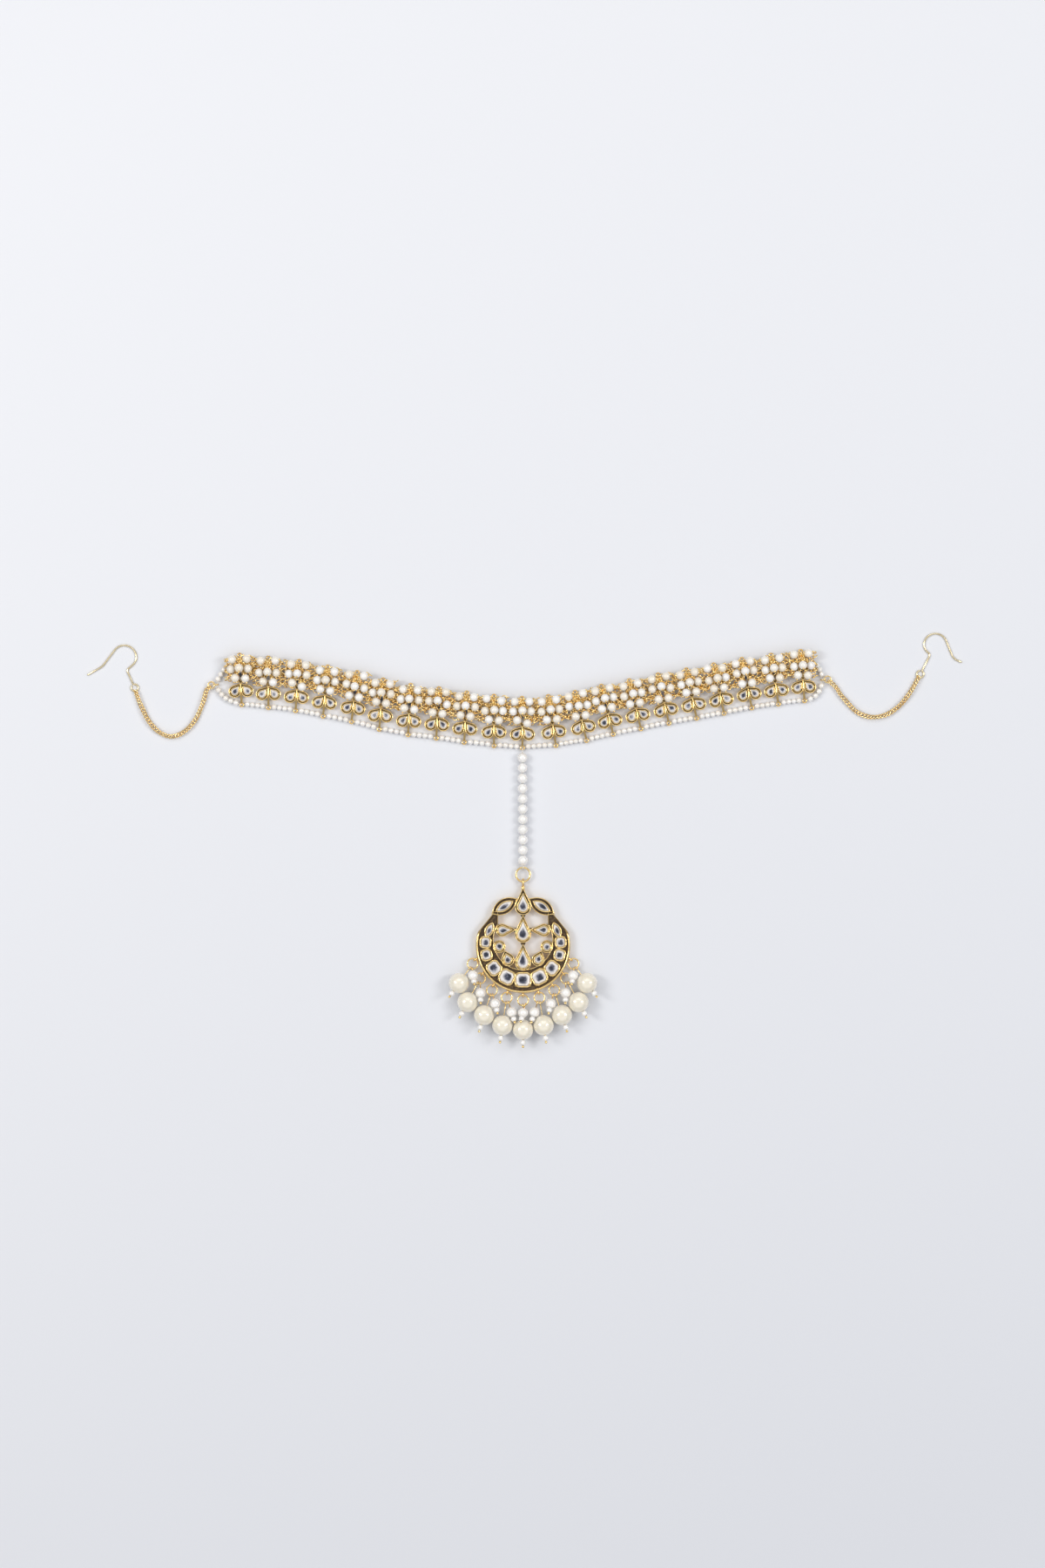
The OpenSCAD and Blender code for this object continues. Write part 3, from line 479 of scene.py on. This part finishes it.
def thread_material(name):
    m, nodes, links, bsdf = material(name)
    coord = node(nodes, "ShaderNodeTexCoord")
    twist = node(nodes, "ShaderNodeTexWave", bands_direction="DIAGONAL")
    links.new(coord.outputs["Object"], twist.inputs["Vector"])
    twist.inputs["Scale"].default_value = 900
    twist.inputs["Distortion"].default_value = 1.5
    links.new(ramp_node(nodes, links, twist.outputs["Fac"], [
        (0.0, (0.62, 0.58, 0.5)), (1.0, (0.86, 0.83, 0.77))]), bsdf.inputs["Base Color"])
    bsdf.inputs["Roughness"].default_value = 0.75
    bump_node(nodes, links, twist.outputs["Fac"], 0.4, 0.00008, bsdf)
    return m


LIGHT_GOLD, DEEP_GOLD, BROWN = (1.0, 0.74, 0.34), (0.93, 0.6, 0.2), (0.05, 0.026, 0.009)
link_gold = antique_gold("link_gold", LINK_GROOVE, LIGHT_GOLD, DEEP_GOLD, BROWN)
pendant_gold = antique_gold("pendant_gold", PENDANT_GROOVE, LIGHT_GOLD, DEEP_GOLD, BROWN)
wire_gold = gold("wire_gold", (1.0, 0.8, 0.42), (0.98, 0.68, 0.26), 0.18)
chain_gold = gold("chain_gold", (1.0, 0.8, 0.44), (0.95, 0.68, 0.3), 0.2)
hook_gold = gold("hook_gold", (0.93, 0.82, 0.58), (0.82, 0.68, 0.42), 0.22)
white_pearl = pearl("white_pearl_lacquer", (0.9, 0.88, 0.85), (0.86, 0.81, 0.73))
bunch_pearl_skin = pearl("bunch_pearl_lacquer", (0.91, 0.89, 0.86), (0.85, 0.77, 0.64))
cream_pearl = pearl("cream_pearl_lacquer", (0.88, 0.82, 0.68), (0.84, 0.75, 0.57), 0.22)
foil_painted_reflections = foiled_stone("foil_painted_reflections")
strand_thread = thread_material("spun_thread")

# CAD nodes that stay, with better surfaces
KEPT = {
    "link_": link_gold, "large_pearl_": cream_pearl, "strand_pearls": white_pearl,
    "strand_thread": strand_thread, "strand_ring": wire_gold, "pendant_frame": pendant_gold,
    "drop_rings": wire_gold, "drop_pins": wire_gold, "drop_seeds": white_pearl,
    "small_pearls": white_pearl, "left_end_links": wire_gold, "right_end_links": wire_gold,
}
SMOOTH = ("large_pearl_", "strand_", "drop_", "small_pearls", "left_end_links", "right_end_links")
for name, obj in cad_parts.items():
    for start, surface in KEPT.items():
        if name.startswith(start):
            obj.data.materials.clear()
            obj.data.materials.append(surface)
    if name.startswith(SMOOTH):
        obj.data.polygons.foreach_set("use_smooth", [True] * len(obj.data.polygons))


# The string of edging pearls and its thread
EDGE_JITTER = 0.05


def filled(shape, route):
    """Fills a straight or bent stretch of the string with pearls that touch."""
    pts = [Vector(p) for p in route]
    lengths = [(b - a).length for a, b in zip(pts, pts[1:])]
    total = sum(lengths)
    n = max(1, round(total / (EDGE_D * 0.97)))
    pitch = total / n
    for k in range(n):
        s, leg = pitch * (k + 0.5), 0
        while leg < len(lengths) - 1 and s > lengths[leg]:
            s -= lengths[leg]
            leg += 1
        p = pts[leg].lerp(pts[leg + 1], s / lengths[leg])
        way = (pts[leg + 1] - pts[leg]).normalized()
        side = Vector((-way.y, way.x)) * rng.uniform(-EDGE_JITTER, EDGE_JITTER)
        at = at_z(p + side, STRING_Z + rng.uniform(-0.02, EDGE_JITTER))
        d = min(EDGE_D, pitch * 1.03) * rng.uniform(0.97, 1.0)
        ball(shape, at, d, rng.random() * 0.8, 18, 12, way=(way.x, way.y, 0))


lower = [on_link(i, 0, STRING_SHIFT) for i in range(len(BAND))]
upper = [on_link(i, 0, RING_RISE - STRING_SHIFT) for i in range(len(BAND))]
edging = Shape()
for row in (lower, upper):
    for a, b in zip(row, row[1:]):
        way = (b - a).normalized()
        filled(edging, [a + way * STRING_GAP, b - way * STRING_GAP])


def round_end(row_end, before, turn, hold, back, row_start, after):
    """The string's pearls round one end of the band, on both sides of the link that holds it."""
    hold = Vector(hold)
    way = (Vector(back[0]) - Vector(turn[-1])).normalized()
    out_way = (row_end - before).normalized()
    in_way = (after - row_start).normalized()
    filled(edging, [row_end + out_way * STRING_GAP] + turn + [hold - way * HOLD_GAP])
    filled(edging, [hold + way * HOLD_GAP] + back + [row_start - in_way * STRING_GAP])


round_end(lower[-1], lower[-2], RIGHT_TURN, RIGHT_HOLD, RIGHT_BACK, upper[-1], upper[-2])
round_end(upper[0], upper[1], LEFT_TURN, LEFT_HOLD, LEFT_BACK, lower[0], lower[1])
edging.build("edging_pearls", white_pearl, "white_pearl", ["edge_string"])


def ring_crossing(at, way, up):
    """The thread's dip through a stringing ring, as in the solids."""
    over = RING_WIRE / 2
    # distance along the string, share of its shift from the ring's middle that is taken back, and height
    rows = [(-STRING_GAP - 0.6, 0, STRING_Z), (0.1 - STRING_GAP, 0.5, RING_Z + 0.4),
            (-RING_MID, 0.55, RING_Z + over + STRING_LIFT), (RING_MID, 0.55, RING_Z - over - STRING_LIFT),
            (STRING_GAP - 0.1, 0.5, RING_Z - 0.4), (STRING_GAP + 0.6, 0, STRING_Z)]
    return [at_z(at + way * s - up * (STRING_SHIFT * w), z) for s, w, z in rows]


thread_points = []
for i, p in enumerate(lower):
    way = (lower[min(i + 1, len(BAND) - 1)] - lower[max(i - 1, 0)]).normalized()
    thread_points += ring_crossing(p, way, turned((0, 1), BAND[i][2]))
thread_points += [at_z(p, STRING_Z) for p in RIGHT_TURN + [RIGHT_HOLD] + RIGHT_BACK]
for i in reversed(range(len(BAND))):
    way = (upper[max(i - 1, 0)] - upper[min(i + 1, len(BAND) - 1)]).normalized()
    thread_points += ring_crossing(upper[i], way, -turned((0, 1), BAND[i][2]))
thread_points += [at_z(p, STRING_Z) for p in LEFT_TURN + [LEFT_HOLD] + LEFT_BACK]
edge_thread = Shape()
tube(edge_thread, thread_points, EDGE_THREAD / 2, sides=6, closed=True)
edge_thread.build("edging_thread", strand_thread, "thread", ["edge_string"])


# Pearl bunches and their wires
# Close turns round a link's neck, and the wound post above it
NECK_COIL_R, NECK_WIRE, NECK_TURNS = 0.62, 0.34, 3.6
POST_R, POST_COIL_R, POST_WIRE, POST_TURNS = 0.36, 0.55, 0.36, 7
# A pin's jump ring, its eye, its shaft, the wrap round it, and the ball at its end
PIN_LINK_R, PIN_LINK_WIRE, PIN_EYE_R, PIN_EYE_WIRE, PIN_R = 0.8, 0.32, 0.5, 0.3, 0.17
WRAP_R, WRAP_WIRE, WRAP_LONG, WRAP_SHORT, TURNS_PER_MM = 0.38, 0.3, 1.6, 0.3, 3.1
PIN_BALL, PIN_BALL_OUT, PIN_OUT = 0.78, 0.16, 0.1
# The loose rings of each link, with their step up the link and their highest place
LOOSE_RINGS, LOOSE_WIRE, LOOSE_STEP, LOOSE_TOP = 6, 0.34, 1.7, 18.4
# The runs of rings that reach out to the next bunch: their places up the link, and the first ring's
# place, the step out and the step down from ring to ring
RUN_ROWS, RUN_RINGS, RUN_WIRE = (17.8, 16.4, 15, 13.6, 12.2, 10.8, 9.6), 4, 0.42
RUN_START, RUN_STEP, RUN_Z, RUN_SINK = 1.6, 1.15, 3.4, 0.2


def wired_bunch(pearls, wires, i):
    """The bunch of link i: its pearls on their pins, and the wires and rings among them."""
    neck = on_link(i, 0, COLLAR_V)
    up = turned((0, 1), BAND[i][2])
    up3 = Vector((up.x, up.y, 0))
    top = at_z(neck, KNOT_Z)
    # close turns of wire round the link's neck, then a wound post up to the knot
    low, reach = at_z(neck, RING_Z), up3 * NECK_COIL_R
    coil(wires, low - reach, low + reach, NECK_COIL_R, NECK_WIRE, NECK_TURNS, steps=12)
    tube(wires, [at_z(neck, RING_Z + 0.6), at_z(neck, KNOT_Z + 0.2)], POST_R)
    coil(wires, at_z(neck, RING_Z + 0.7), at_z(neck, KNOT_Z + 0.45), POST_COIL_R, POST_WIRE, POST_TURNS,
         steps=12)
    for j in range(len(BUNCH)):
        at = bunch_pearl(i, j)
        way = (at - top).normalized()
        side, lift = across(way)
        free = (at - top).length - BUNCH_D / 2
        spin = rng.uniform(0, math.pi)
        axis = math.cos(spin) * lift + math.sin(spin) * side
        # a jump ring from the knot, the pin's eye in it, its wrapped neck, its shaft and its ball end
        link_r = min(PIN_LINK_R, free * 0.4)
        ring(wires, top + way * (link_r + 0.15), link_r, PIN_LINK_WIRE, axis, segments=18, sides=6)
        eye_r = min(PIN_EYE_R, free * 0.25)
        eye_mid = 2 * link_r + eye_r
        turned_axis = math.sin(spin) * lift - math.cos(spin) * side
        ring(wires, top + way * eye_mid, eye_r, PIN_EYE_WIRE, turned_axis, segments=14, sides=6)
        start = top + way * min(eye_mid + eye_r, free)
        tube(wires, [start, at + way * (BUNCH_D / 2 + PIN_OUT)], PIN_R, sides=6)
        wrap = min((top + way * free - start).length, WRAP_LONG)
        if wrap > WRAP_SHORT:
            coil(wires, start, start + way * wrap, WRAP_R, WRAP_WIRE, wrap * TURNS_PER_MM, steps=8)
        ball(wires, at + way * (BUNCH_D / 2 + PIN_BALL_OUT), PIN_BALL, PLAIN_TINT, 10, 7)
        d, tint = BUNCH_D * rng.uniform(0.975, 1.0), rng.random()
        ball(pearls, at, d, tint, 26, 16, way=way, squash=rng.uniform(0.97, 1.0))
    # loose jump rings that the pins' eyes also hold, between the pearls and the link
    for k in range(LOOSE_RINGS):
        v = RUN_ROWS[-1] + LOOSE_STEP * k + rng.uniform(-0.4, 0.4)
        p = on_link(i, rng.uniform(-1.7, 1.7), min(v, LOOSE_TOP))
        tip = Vector((rng.uniform(-1, 1), rng.uniform(-1, 1), rng.uniform(0.1, 1.2)))
        z = rng.uniform(3.0, 3.9)
        ring(wires, at_z(p, z), rng.uniform(0.85, 1.05), LOOSE_WIRE, tip, segments=18, sides=6)
    # short runs of linked rings from the knot out to the next bunch, under the pearls
    for side in (-1, 1):
        for v in RUN_ROWS:
            lean = rng.uniform(-0.8, 0.8)
            for k in range(RUN_RINGS):
                u = side * (RUN_START + RUN_STEP * k + rng.uniform(-0.2, 0.2))
                p = on_link(i, u, v + lean * k / (RUN_RINGS - 1) + rng.uniform(-0.3, 0.3))
                if k % 2:
                    tip = Vector((rng.uniform(-0.7, 0.7), 1, rng.uniform(-0.5, 0.5)))
                else:
                    tip = Vector((rng.uniform(-0.6, 0.6), rng.uniform(-0.6, 0.6), 1))
                ring_r = rng.uniform(0.8, 1.05)
                ring(wires, at_z(p, RUN_Z - RUN_SINK * k), ring_r, RUN_WIRE, tip, segments=14, sides=6)


for part, side_name in enumerate(("left", "middle", "right")):
    pearls, wires = Shape(), Shape()
    for i in range(LINKS_A_NODE * part, LINKS_A_NODE * (part + 1)):
        wired_bunch(pearls, wires, i)
    cad = ["pearl_bunches_" + side_name]
    pearls.build("bunched_pearls_" + side_name, bunch_pearl_skin, "bunch_pearl", cad)
    wires.build("bunch_wires_" + side_name, wire_gold, "bright_gold", cad)


# Cut stones and the gold lips round them
# Widths of the lip round an inner stone, of the lip round a crescent stone and of a setting's wall
LIP, WIDE_LIP, WALL = 0.48, 0.64, 0.26
# How far a lip reaches over its stone, and its height on the pendant
LIP_OVERLAP, LIP_Z = 0.06, PENDANT_H - 0.04
# A stone's foot lies this far over its setting's floor, and its girdle this far under the setting's top
STONE_FOOT, LINK_GIRDLE, PENDANT_GIRDLE = 0.1, 0.3, 0.4
# Radius and wire of the two lips of a petal
LINK_LIPS = ((PETAL_R - 0.02, 0.42), (PETAL_R - 2.3 * RIM_W, 0.26))
# Angles from straight down at which the wires along the pendant's arcs end
OUTER_ARC, INNER_ARC = 107, 122


def pear_outline(length, width, n=9):
    r, tip = width / 2, length - width / 2
    a = math.degrees(math.asin(r / tip))
    angles = [rad(180 - a + (180 + 2 * a) * k / n) for k in range(n + 1)]
    arc = [(r * math.cos(t), r * math.sin(t)) for t in angles]
    left = Vector(arc[0]).lerp(Vector((0, tip)), 0.5)
    right = Vector(arc[-1]).lerp(Vector((0, tip)), 0.5)
    shift = r - length / 2
    return [Vector((p[0], p[1] + shift)) for p in arc + [tuple(right), (0, tip), tuple(left)]]


def marquise_outline(length, width, n=8):
    arc_r = (length * length + width * width) / (4 * width)
    half = math.degrees(math.asin(length / 2 / arc_r))
    side = [Vector((arc_r * math.cos(rad(2 * half * k / n - half)) - arc_r + width / 2,
                    arc_r * math.sin(rad(2 * half * k / n - half)))) for k in range(n)]
    return side + [-p for p in side]


def round_outline(d, n=16):
    angles = [math.tau * k / n for k in range(n)]
    return [Vector((d / 2 * math.cos(t), d / 2 * math.sin(t))) for t in angles]


def square_outline(w, h):
    c = 0.22 * min(w, h)
    corners = [(w / 2, c - h / 2), (w / 2, h / 2 - c), (w / 2 - c, h / 2), (c - w / 2, h / 2),
               (-w / 2, h / 2 - c), (-w / 2, c - h / 2), (c - w / 2, -h / 2), (w / 2 - c, -h / 2)]
    out = []
    for k, p in enumerate(corners):
        out.append(Vector(p))
        if k % 2 == 0:
            out.append(Vector(p).lerp(Vector(corners[k + 1]), 0.5))
    return out


def gem(shape, outline, at, turn, floor_z, girdle_z, table_z, painted_reflection_dark):
    """A foiled stone with painted reflections: pale facets round a table painted dark on one slanting side
    and light on the other, standing for the dark overhead and the bright lamps that it reflects.
    """
    n = len(outline)
    # height, scale and shift along the outline of each ring of points, and how much of the painted dark
    # reflection it takes
    levels = [
        (floor_z, 0.9, 0, 0.2), (girdle_z, 1.0, 0, 0.0),
        (girdle_z + 0.55 * (table_z - girdle_z), 0.86, 0.5, 0.1), (table_z, 0.68, 0, 0.35),
        (table_z + 0.02, 0.5, 0.5, 0.8), (table_z + 0.03, 0.25, 0, 1.0),
    ]
    middle = sum(outline, Vector((0, 0))) / n
    size = min((p - middle).length for p in outline)
    slip = Vector((rng.uniform(-1, 1), rng.uniform(-1, 1))) * 0.12 * size
    slant = turned((1, 0), rng.uniform(0, 360))
    verts, tints = [], []

    def place(p, z, share):
        # painted reflection: the table is painted light on one slanting side, dark on the other and darkest
        # in the middle, with a random dimming at each point
        lit = 0.5 + 0.5 * (p - middle).dot(slant) / size
        verts.append(at_z(Vector(at) + turned(p, turn), z))
        dark = share * painted_reflection_dark * (1.25 - 0.75 * lit) * rng.uniform(0.9, 1.1)
        tints.append(min(1, max(0, 1 - dark - rng.uniform(0, 0.22))))

    for level, (z, scale, shift, share) in enumerate(levels):
        for k in range(n):
            p = outline[k].lerp(outline[(k + 1) % n], shift) * scale + middle * (1 - scale)
            place(p + slip if level > 3 else p, z, share)
    place(middle + slip, table_z + 0.03, 1.0)
    faces = []
    for k in range(n):
        m = (k + 1) % n
        faces.append((k, m, n + m, n + k))
        for level in range(1, 5):
            a, b = level * n, (level + 1) * n
            if level in (1, 3):
                faces += [(a + k, a + m, b + k), (b + k, a + m, b + m)]
            else:
                faces += [(a + k, b + m, b + k), (a + k, a + m, b + m)]
        faces.append((5 * n + k, 5 * n + m, 6 * n))
    faces.append(tuple(range(n - 1, -1, -1)))
    shape.add(verts, faces, tints)


def grown(outline, w):
    """The outline moved outward by w, with a long corner left as sharp as it is."""
    n, out = len(outline), []
    for k in range(n):
        a = (outline[k] - outline[k - 1]).normalized()
        b = (outline[(k + 1) % n] - outline[k]).normalized()
        na, nb = Vector((a.y, -a.x)), Vector((b.y, -b.x))
        mid = (na + nb).normalized()
        out.append(outline[k] + mid * w / max(mid.dot(na), 0.35))
    return out


def bezel(shape, outline, at, turn, z, wire):
    """A rounded gold lip along an outline, drawn with closer points so that it bends evenly."""
    n, points = len(outline), []
    for k in range(n):
        points += [outline[k], outline[k].lerp(outline[(k + 1) % n], 0.5)]
    tube(shape, [at_z(Vector(at) + turned(p, turn), z) for p in points], wire / 2, sides=8, closed=True)


hole_r = PETAL_R - 3 * RIM_W
petal_len = hole_r + PETAL_TIP * hole_r / PETAL_R
band_gems, link_lips = Shape(), Shape()
for i in range(len(BAND)):
    for t in (0, 180 - PETAL_SPLAY, 180 + PETAL_SPLAY):
        head = Vector((0, PETAL_RISE)) + turned((0, PETAL_OUT), t)
        # the pear's round end sits at the petal's middle and its tip points at the trefoil's centre
        mid = head + turned((0, -(petal_len / 2 - hole_r)), t)
        gem(band_gems, pear_outline(petal_len, 2 * hole_r), on_link(i, mid.x, mid.y), BAND[i][2] + t + 180,
            LINK_FLOOR + STONE_FOOT, LINK_H - LINK_GIRDLE, LINK_H + TABLE_RISE, rng.uniform(0.55, 1.0))
        for r, wire in LINK_LIPS:
            length = r + PETAL_TIP * r / PETAL_R
            mid = head + turned((0, -(length / 2 - r)), t)
            outline = pear_outline(length, 2 * r)
            bezel(link_lips, outline, on_link(i, mid.x, mid.y), BAND[i][2] + t + 180, LINK_H - 0.02, wire)
band_gems.build("band_gems", foil_painted_reflections, "foiled_stone", ["band_stones"], smooth=False)
link_lips.build("link_lips", wire_gold, "antique_gold")

OUTLINES = {
    "pear": pear_outline,
    "marquise": marquise_outline,
    "round": lambda length, width: round_outline(width),
    "square": lambda length, width: square_outline(width, length),
}
gems = [(*stone, reach) for stone, reach in zip(INNER, REACHES)]
for angle, kind, length, width, out in CRESCENT:
    for side in ((1,) if angle == 0 else (1, -1)):
        x, y = out * PENDANT_R * down_at(side * angle)
        turn = 180 - side * angle + (90 if kind == "marquise" else 0)
        gems.append((kind, x, y, turn, length, width, 0))
pendant_gems, pendant_lips = Shape(), Shape()
for kind, x, y, turn, length, width, reach in gems:
    outline = OUTLINES[kind](length, width)
    at = (PENDANT[0] + x, PENDANT[1] + y)
    gem(pendant_gems, outline, at, -turn, PENDANT_FLOOR + STONE_FOOT, PENDANT_H - PENDANT_GIRDLE,
        PENDANT_H + TABLE_RISE, rng.uniform(0.8, 1.05))
    lip = LIP if reach else WIDE_LIP
    bezel(pendant_lips, grown(outline, STONE_GAP + lip / 2 - LIP_OVERLAP), at, -turn, LIP_Z, lip)
    if reach:
        bezel(pendant_lips, grown(outline, reach - WALL / 2), at, -turn, LIP_Z, WALL + 0.12)


def arc_wire(shape, middle, r, from_a, to_a, z, wire):
    """A round wire along an arc of the pendant, its angles counted from straight down."""
    n = math.ceil(abs(to_a - from_a) / 4)
    tube(shape, [at_z(Vector(PENDANT) + Vector(middle) + r * down_at(from_a + (to_a - from_a) * k / n), z)
                 for k in range(n + 1)], wire / 2, sides=10)


arc_wire(pendant_lips, (0, 0), PENDANT_R - OUTER_RIM / 2, -OUTER_ARC, OUTER_ARC, PENDANT_H - 0.24, OUTER_RIM)
arc_wire(pendant_lips, (0, INNER_UP), INNER_R + WALL / 2, -INNER_ARC, INNER_ARC, LIP_Z, WALL + 0.04)
pendant_gems.build("pendant_gems", foil_painted_reflections, "foiled_stone", ["pendant_stones"], smooth=False)
pendant_lips.build("pendant_lips", wire_gold, "antique_gold")


# Side chains
CHAIN_PITCH, CHAIN_RING_R, CHAIN_WIRE, CHAIN_STRETCH, CHAIN_TILT = 1.28, 0.66, 0.54, 1.4, 0.5
# The chain's slow roll along its way: size, angle a link and middle; and how far a link's long side turns out
ROLL, ROLL_STEP, ROLL_MID = 0.62, 0.42, 0.25
LONG_ON, LONG_OUT = 0.93, 0.36


def end_ring_at(hold, side):
    return Vector(hold) + side * Vector(END_RING_STEP)


def curb_chain(name, route, ring_at, eye_at):
    """A chain of tilted oval links from the ring at the band's end to the hook's eye."""
    first = ring_at + (Vector(route[0]) - ring_at).normalized() * (END_RING_R + 0.05)
    last = Vector(eye_at) + (Vector(route[-1]) - Vector(eye_at)).normalized() * (HOOK_EYE / 2 - 0.1)
    middles = smooth_route([tuple(first)] + route + [tuple(last)], CHAIN_PITCH)
    shape = Shape()
    phase = rng.uniform(0, math.tau)
    for k, p in enumerate(middles):
        way = (middles[min(k + 1, len(middles) - 1)] - middles[max(k - 1, 0)]).normalized()
        side = Vector((-way.y, way.x, 0))
        roll = ROLL * math.sin(ROLL_STEP * k + phase) + ROLL_MID
        up = Vector((0, 0, 1)) * math.cos(roll) + side * math.sin(roll)
        flat_side = up.cross(way)
        # each link is pitched so that it passes over the next and under the last
        level, rise = math.cos(CHAIN_TILT), math.sin(CHAIN_TILT)
        axis = (up * level - way * rise).normalized()
        along = (way * level + up * rise) * LONG_ON + flat_side * LONG_OUT
        along = (along - axis * along.dot(axis)).normalized()
        ring(shape, at_z(p, CHAIN_Z), CHAIN_RING_R, CHAIN_WIRE, axis, segments=16, sides=7,
             stretch=CHAIN_STRETCH, along=along)
    shape.build(name, chain_gold, "bright_gold", [name.replace("_links", "_chain")])


curb_chain("left_links", LEFT_ROUTE, end_ring_at(LEFT_HOLD, -1), LEFT_EYE)
curb_chain("right_links", RIGHT_ROUTE, end_ring_at(RIGHT_HOLD, 1), RIGHT_EYE)


# Ear hooks
# Points round a hook's eye, length of the wire's taper, and the share of the wire's width left at its tip
EYE_STEPS, TAPER, TIP_SHARE = 36, 0.3, 0.55


def hook_path(at, heading, steps):
    """Points of a wire that runs and bends through the steps."""
    points = []
    for run, bend_r, bend in steps:
        at = at + run * Vector((math.cos(rad(heading)), math.sin(rad(heading))))
        if run > 0:
            points.append(at)
        if bend:
            side = math.copysign(1, bend)
            middle = at + side * bend_r * down_at(heading + 180)
            n = math.ceil(abs(bend) / 6)
            for k in range(1, n + 1):
                at = middle + side * bend_r * down_at(heading + bend * k / n)
                points.append(at)
            heading += bend
    return points


def ear_hook(name, eye_at, start, steps, cad):
    eye_at = Vector(eye_at)
    eye_mid = (HOOK_EYE - HOOK_WIRE) / 2
    gap = 2 * math.degrees(math.asin(HOOK_WIRE / 2 / eye_mid))
    turns = [start + 90 - (360 - gap) * (1 - k / EYE_STEPS) for k in range(EYE_STEPS + 1)]
    eye = [eye_at + eye_mid * down_at(t) for t in turns]
    foot = eye_at + eye_mid * Vector((math.cos(rad(start)), math.sin(rad(start))))
    path = [at_z(p, HOOK_Z) for p in eye + hook_path(foot, start, steps)]
    radii = [HOOK_WIRE / 2] * len(path)
    radii[-1] = HOOK_WIRE / 2 * TIP_SHARE
    path.insert(-1, path[-1] - (path[-1] - path[-2]).normalized() * TAPER)
    radii.insert(-1, HOOK_WIRE / 2)
    shape = Shape()
    tube(shape, path, radii, sides=14)
    shape.build(name, hook_gold, "pale_gold", [cad])


ear_hook("left_hook_wire", LEFT_EYE, LEFT_START, LEFT_STEPS, "left_ear_hook")
ear_hook("right_hook_wire", RIGHT_EYE, RIGHT_START, RIGHT_STEPS, "right_ear_hook")

# Floor, light and camera
FLOOR_REACH = 3.0
floor_mesh = bpy.data.meshes.new("floor")
corners = [(FLOOR_REACH * x, FLOOR_REACH * y, 0) for x, y in ((-1, -1), (1, -1), (1, 1), (-1, 1))]
floor_mesh.from_pydata(corners, [], [(0, 1, 2, 3)])
floor = bpy.data.objects.new("floor", floor_mesh)
bpy.context.scene.collection.objects.link(floor)
floor.location.z = -0.00005
m, nodes, links, bsdf = material("floor_paper")
# painted light falloff: the floor's base colour is paler at the top left and darker towards the lower right
coord = node(nodes, "ShaderNodeTexCoord")
slope = node(nodes, "ShaderNodeVectorMath", operation="DOT_PRODUCT")
slope.inputs[1].default_value = (0.55, -0.83, 0)
links.new(coord.outputs["Object"], slope.inputs[0])
spread = node(nodes, "ShaderNodeMapRange")
spread.inputs["From Min"].default_value = -0.3
spread.inputs["From Max"].default_value = 0.34
links.new(slope.outputs["Value"], spread.inputs["Value"])
links.new(ramp_node(nodes, links, spread.outputs["Result"], [
    (0.0, (0.79, 0.8, 0.83)), (1.0, (0.69, 0.705, 0.745))]), bsdf.inputs["Base Color"])
bsdf.inputs["Roughness"].default_value = 0.85
bsdf.inputs["Specular IOR Level"].default_value = 0.2
bump_node(nodes, links, noise_node(nodes, links, 90, 3), 0.02, 0.0002, bsdf)
floor_mesh.materials.append(m)


def soft_box(name, at, size, power, colour):
    light = bpy.data.lights.new(name, "AREA")
    light.shape = "RECTANGLE"
    light.size, light.size_y = size
    light.energy = power
    light.color = colour
    obj = bpy.data.objects.new(name, light)
    bpy.context.scene.collection.objects.link(obj)
    obj.location = at
    aim = Vector((0, -0.02, 0)) - Vector(at)
    obj.rotation_euler = aim.to_track_quat("-Z", "Y").to_euler()


soft_box("left_box", (-0.85, 0.12, 1.0), (0.26, 0.5), 4.7, (1.0, 0.985, 0.96))
soft_box("right_box", (0.85, 0.12, 1.0), (0.26, 0.5), 4.4, (1.0, 0.985, 0.96))
soft_box("top_box", (0.0, 0.75, 1.1), (0.9, 0.5), 2.0, (0.97, 0.985, 1.0))

world = bpy.data.worlds.new("studio")
bpy.context.scene.world = world
world.use_nodes = True
nodes, links = world.node_tree.nodes, world.node_tree.links
coord = node(nodes, "ShaderNodeTexCoord")
sky = node(nodes, "ShaderNodeSeparateXYZ")
links.new(coord.outputs["Generated"], sky.inputs[0])
back = nodes["Background"]
links.new(ramp_node(nodes, links, sky.outputs["Z"], [
    (0.0, (0.1, 0.1, 0.11)), (0.45, (0.2, 0.2, 0.21)), (0.52, (0.8, 0.8, 0.82)), (0.8, (1.0, 1.0, 1.0)),
    (0.92, (0.62, 0.63, 0.66)), (0.99, (0.3, 0.31, 0.34))]), back.inputs["Color"])
back.inputs["Strength"].default_value = 1.0

# The camera looks straight down; the picture is FRAME_TALL metres tall, and its middle is at FRAME_MIDDLE
FRAME_TALL, FRAME_MIDDLE, SENSOR, LENS = 0.6, -0.0216, 36, 100
camera_data = bpy.data.cameras.new("camera")
camera_data.sensor_fit = "VERTICAL"
camera_data.sensor_height = SENSOR
camera_data.lens = LENS
camera_data.clip_start = 0.01
camera_data.clip_end = 20
camera = bpy.data.objects.new("camera", camera_data)
bpy.context.scene.collection.objects.link(camera)
camera.location = (0, FRAME_MIDDLE, FRAME_TALL * LENS / SENSOR)
bpy.context.scene.camera = camera
bpy.context.scene.view_settings.view_transform = "Standard"
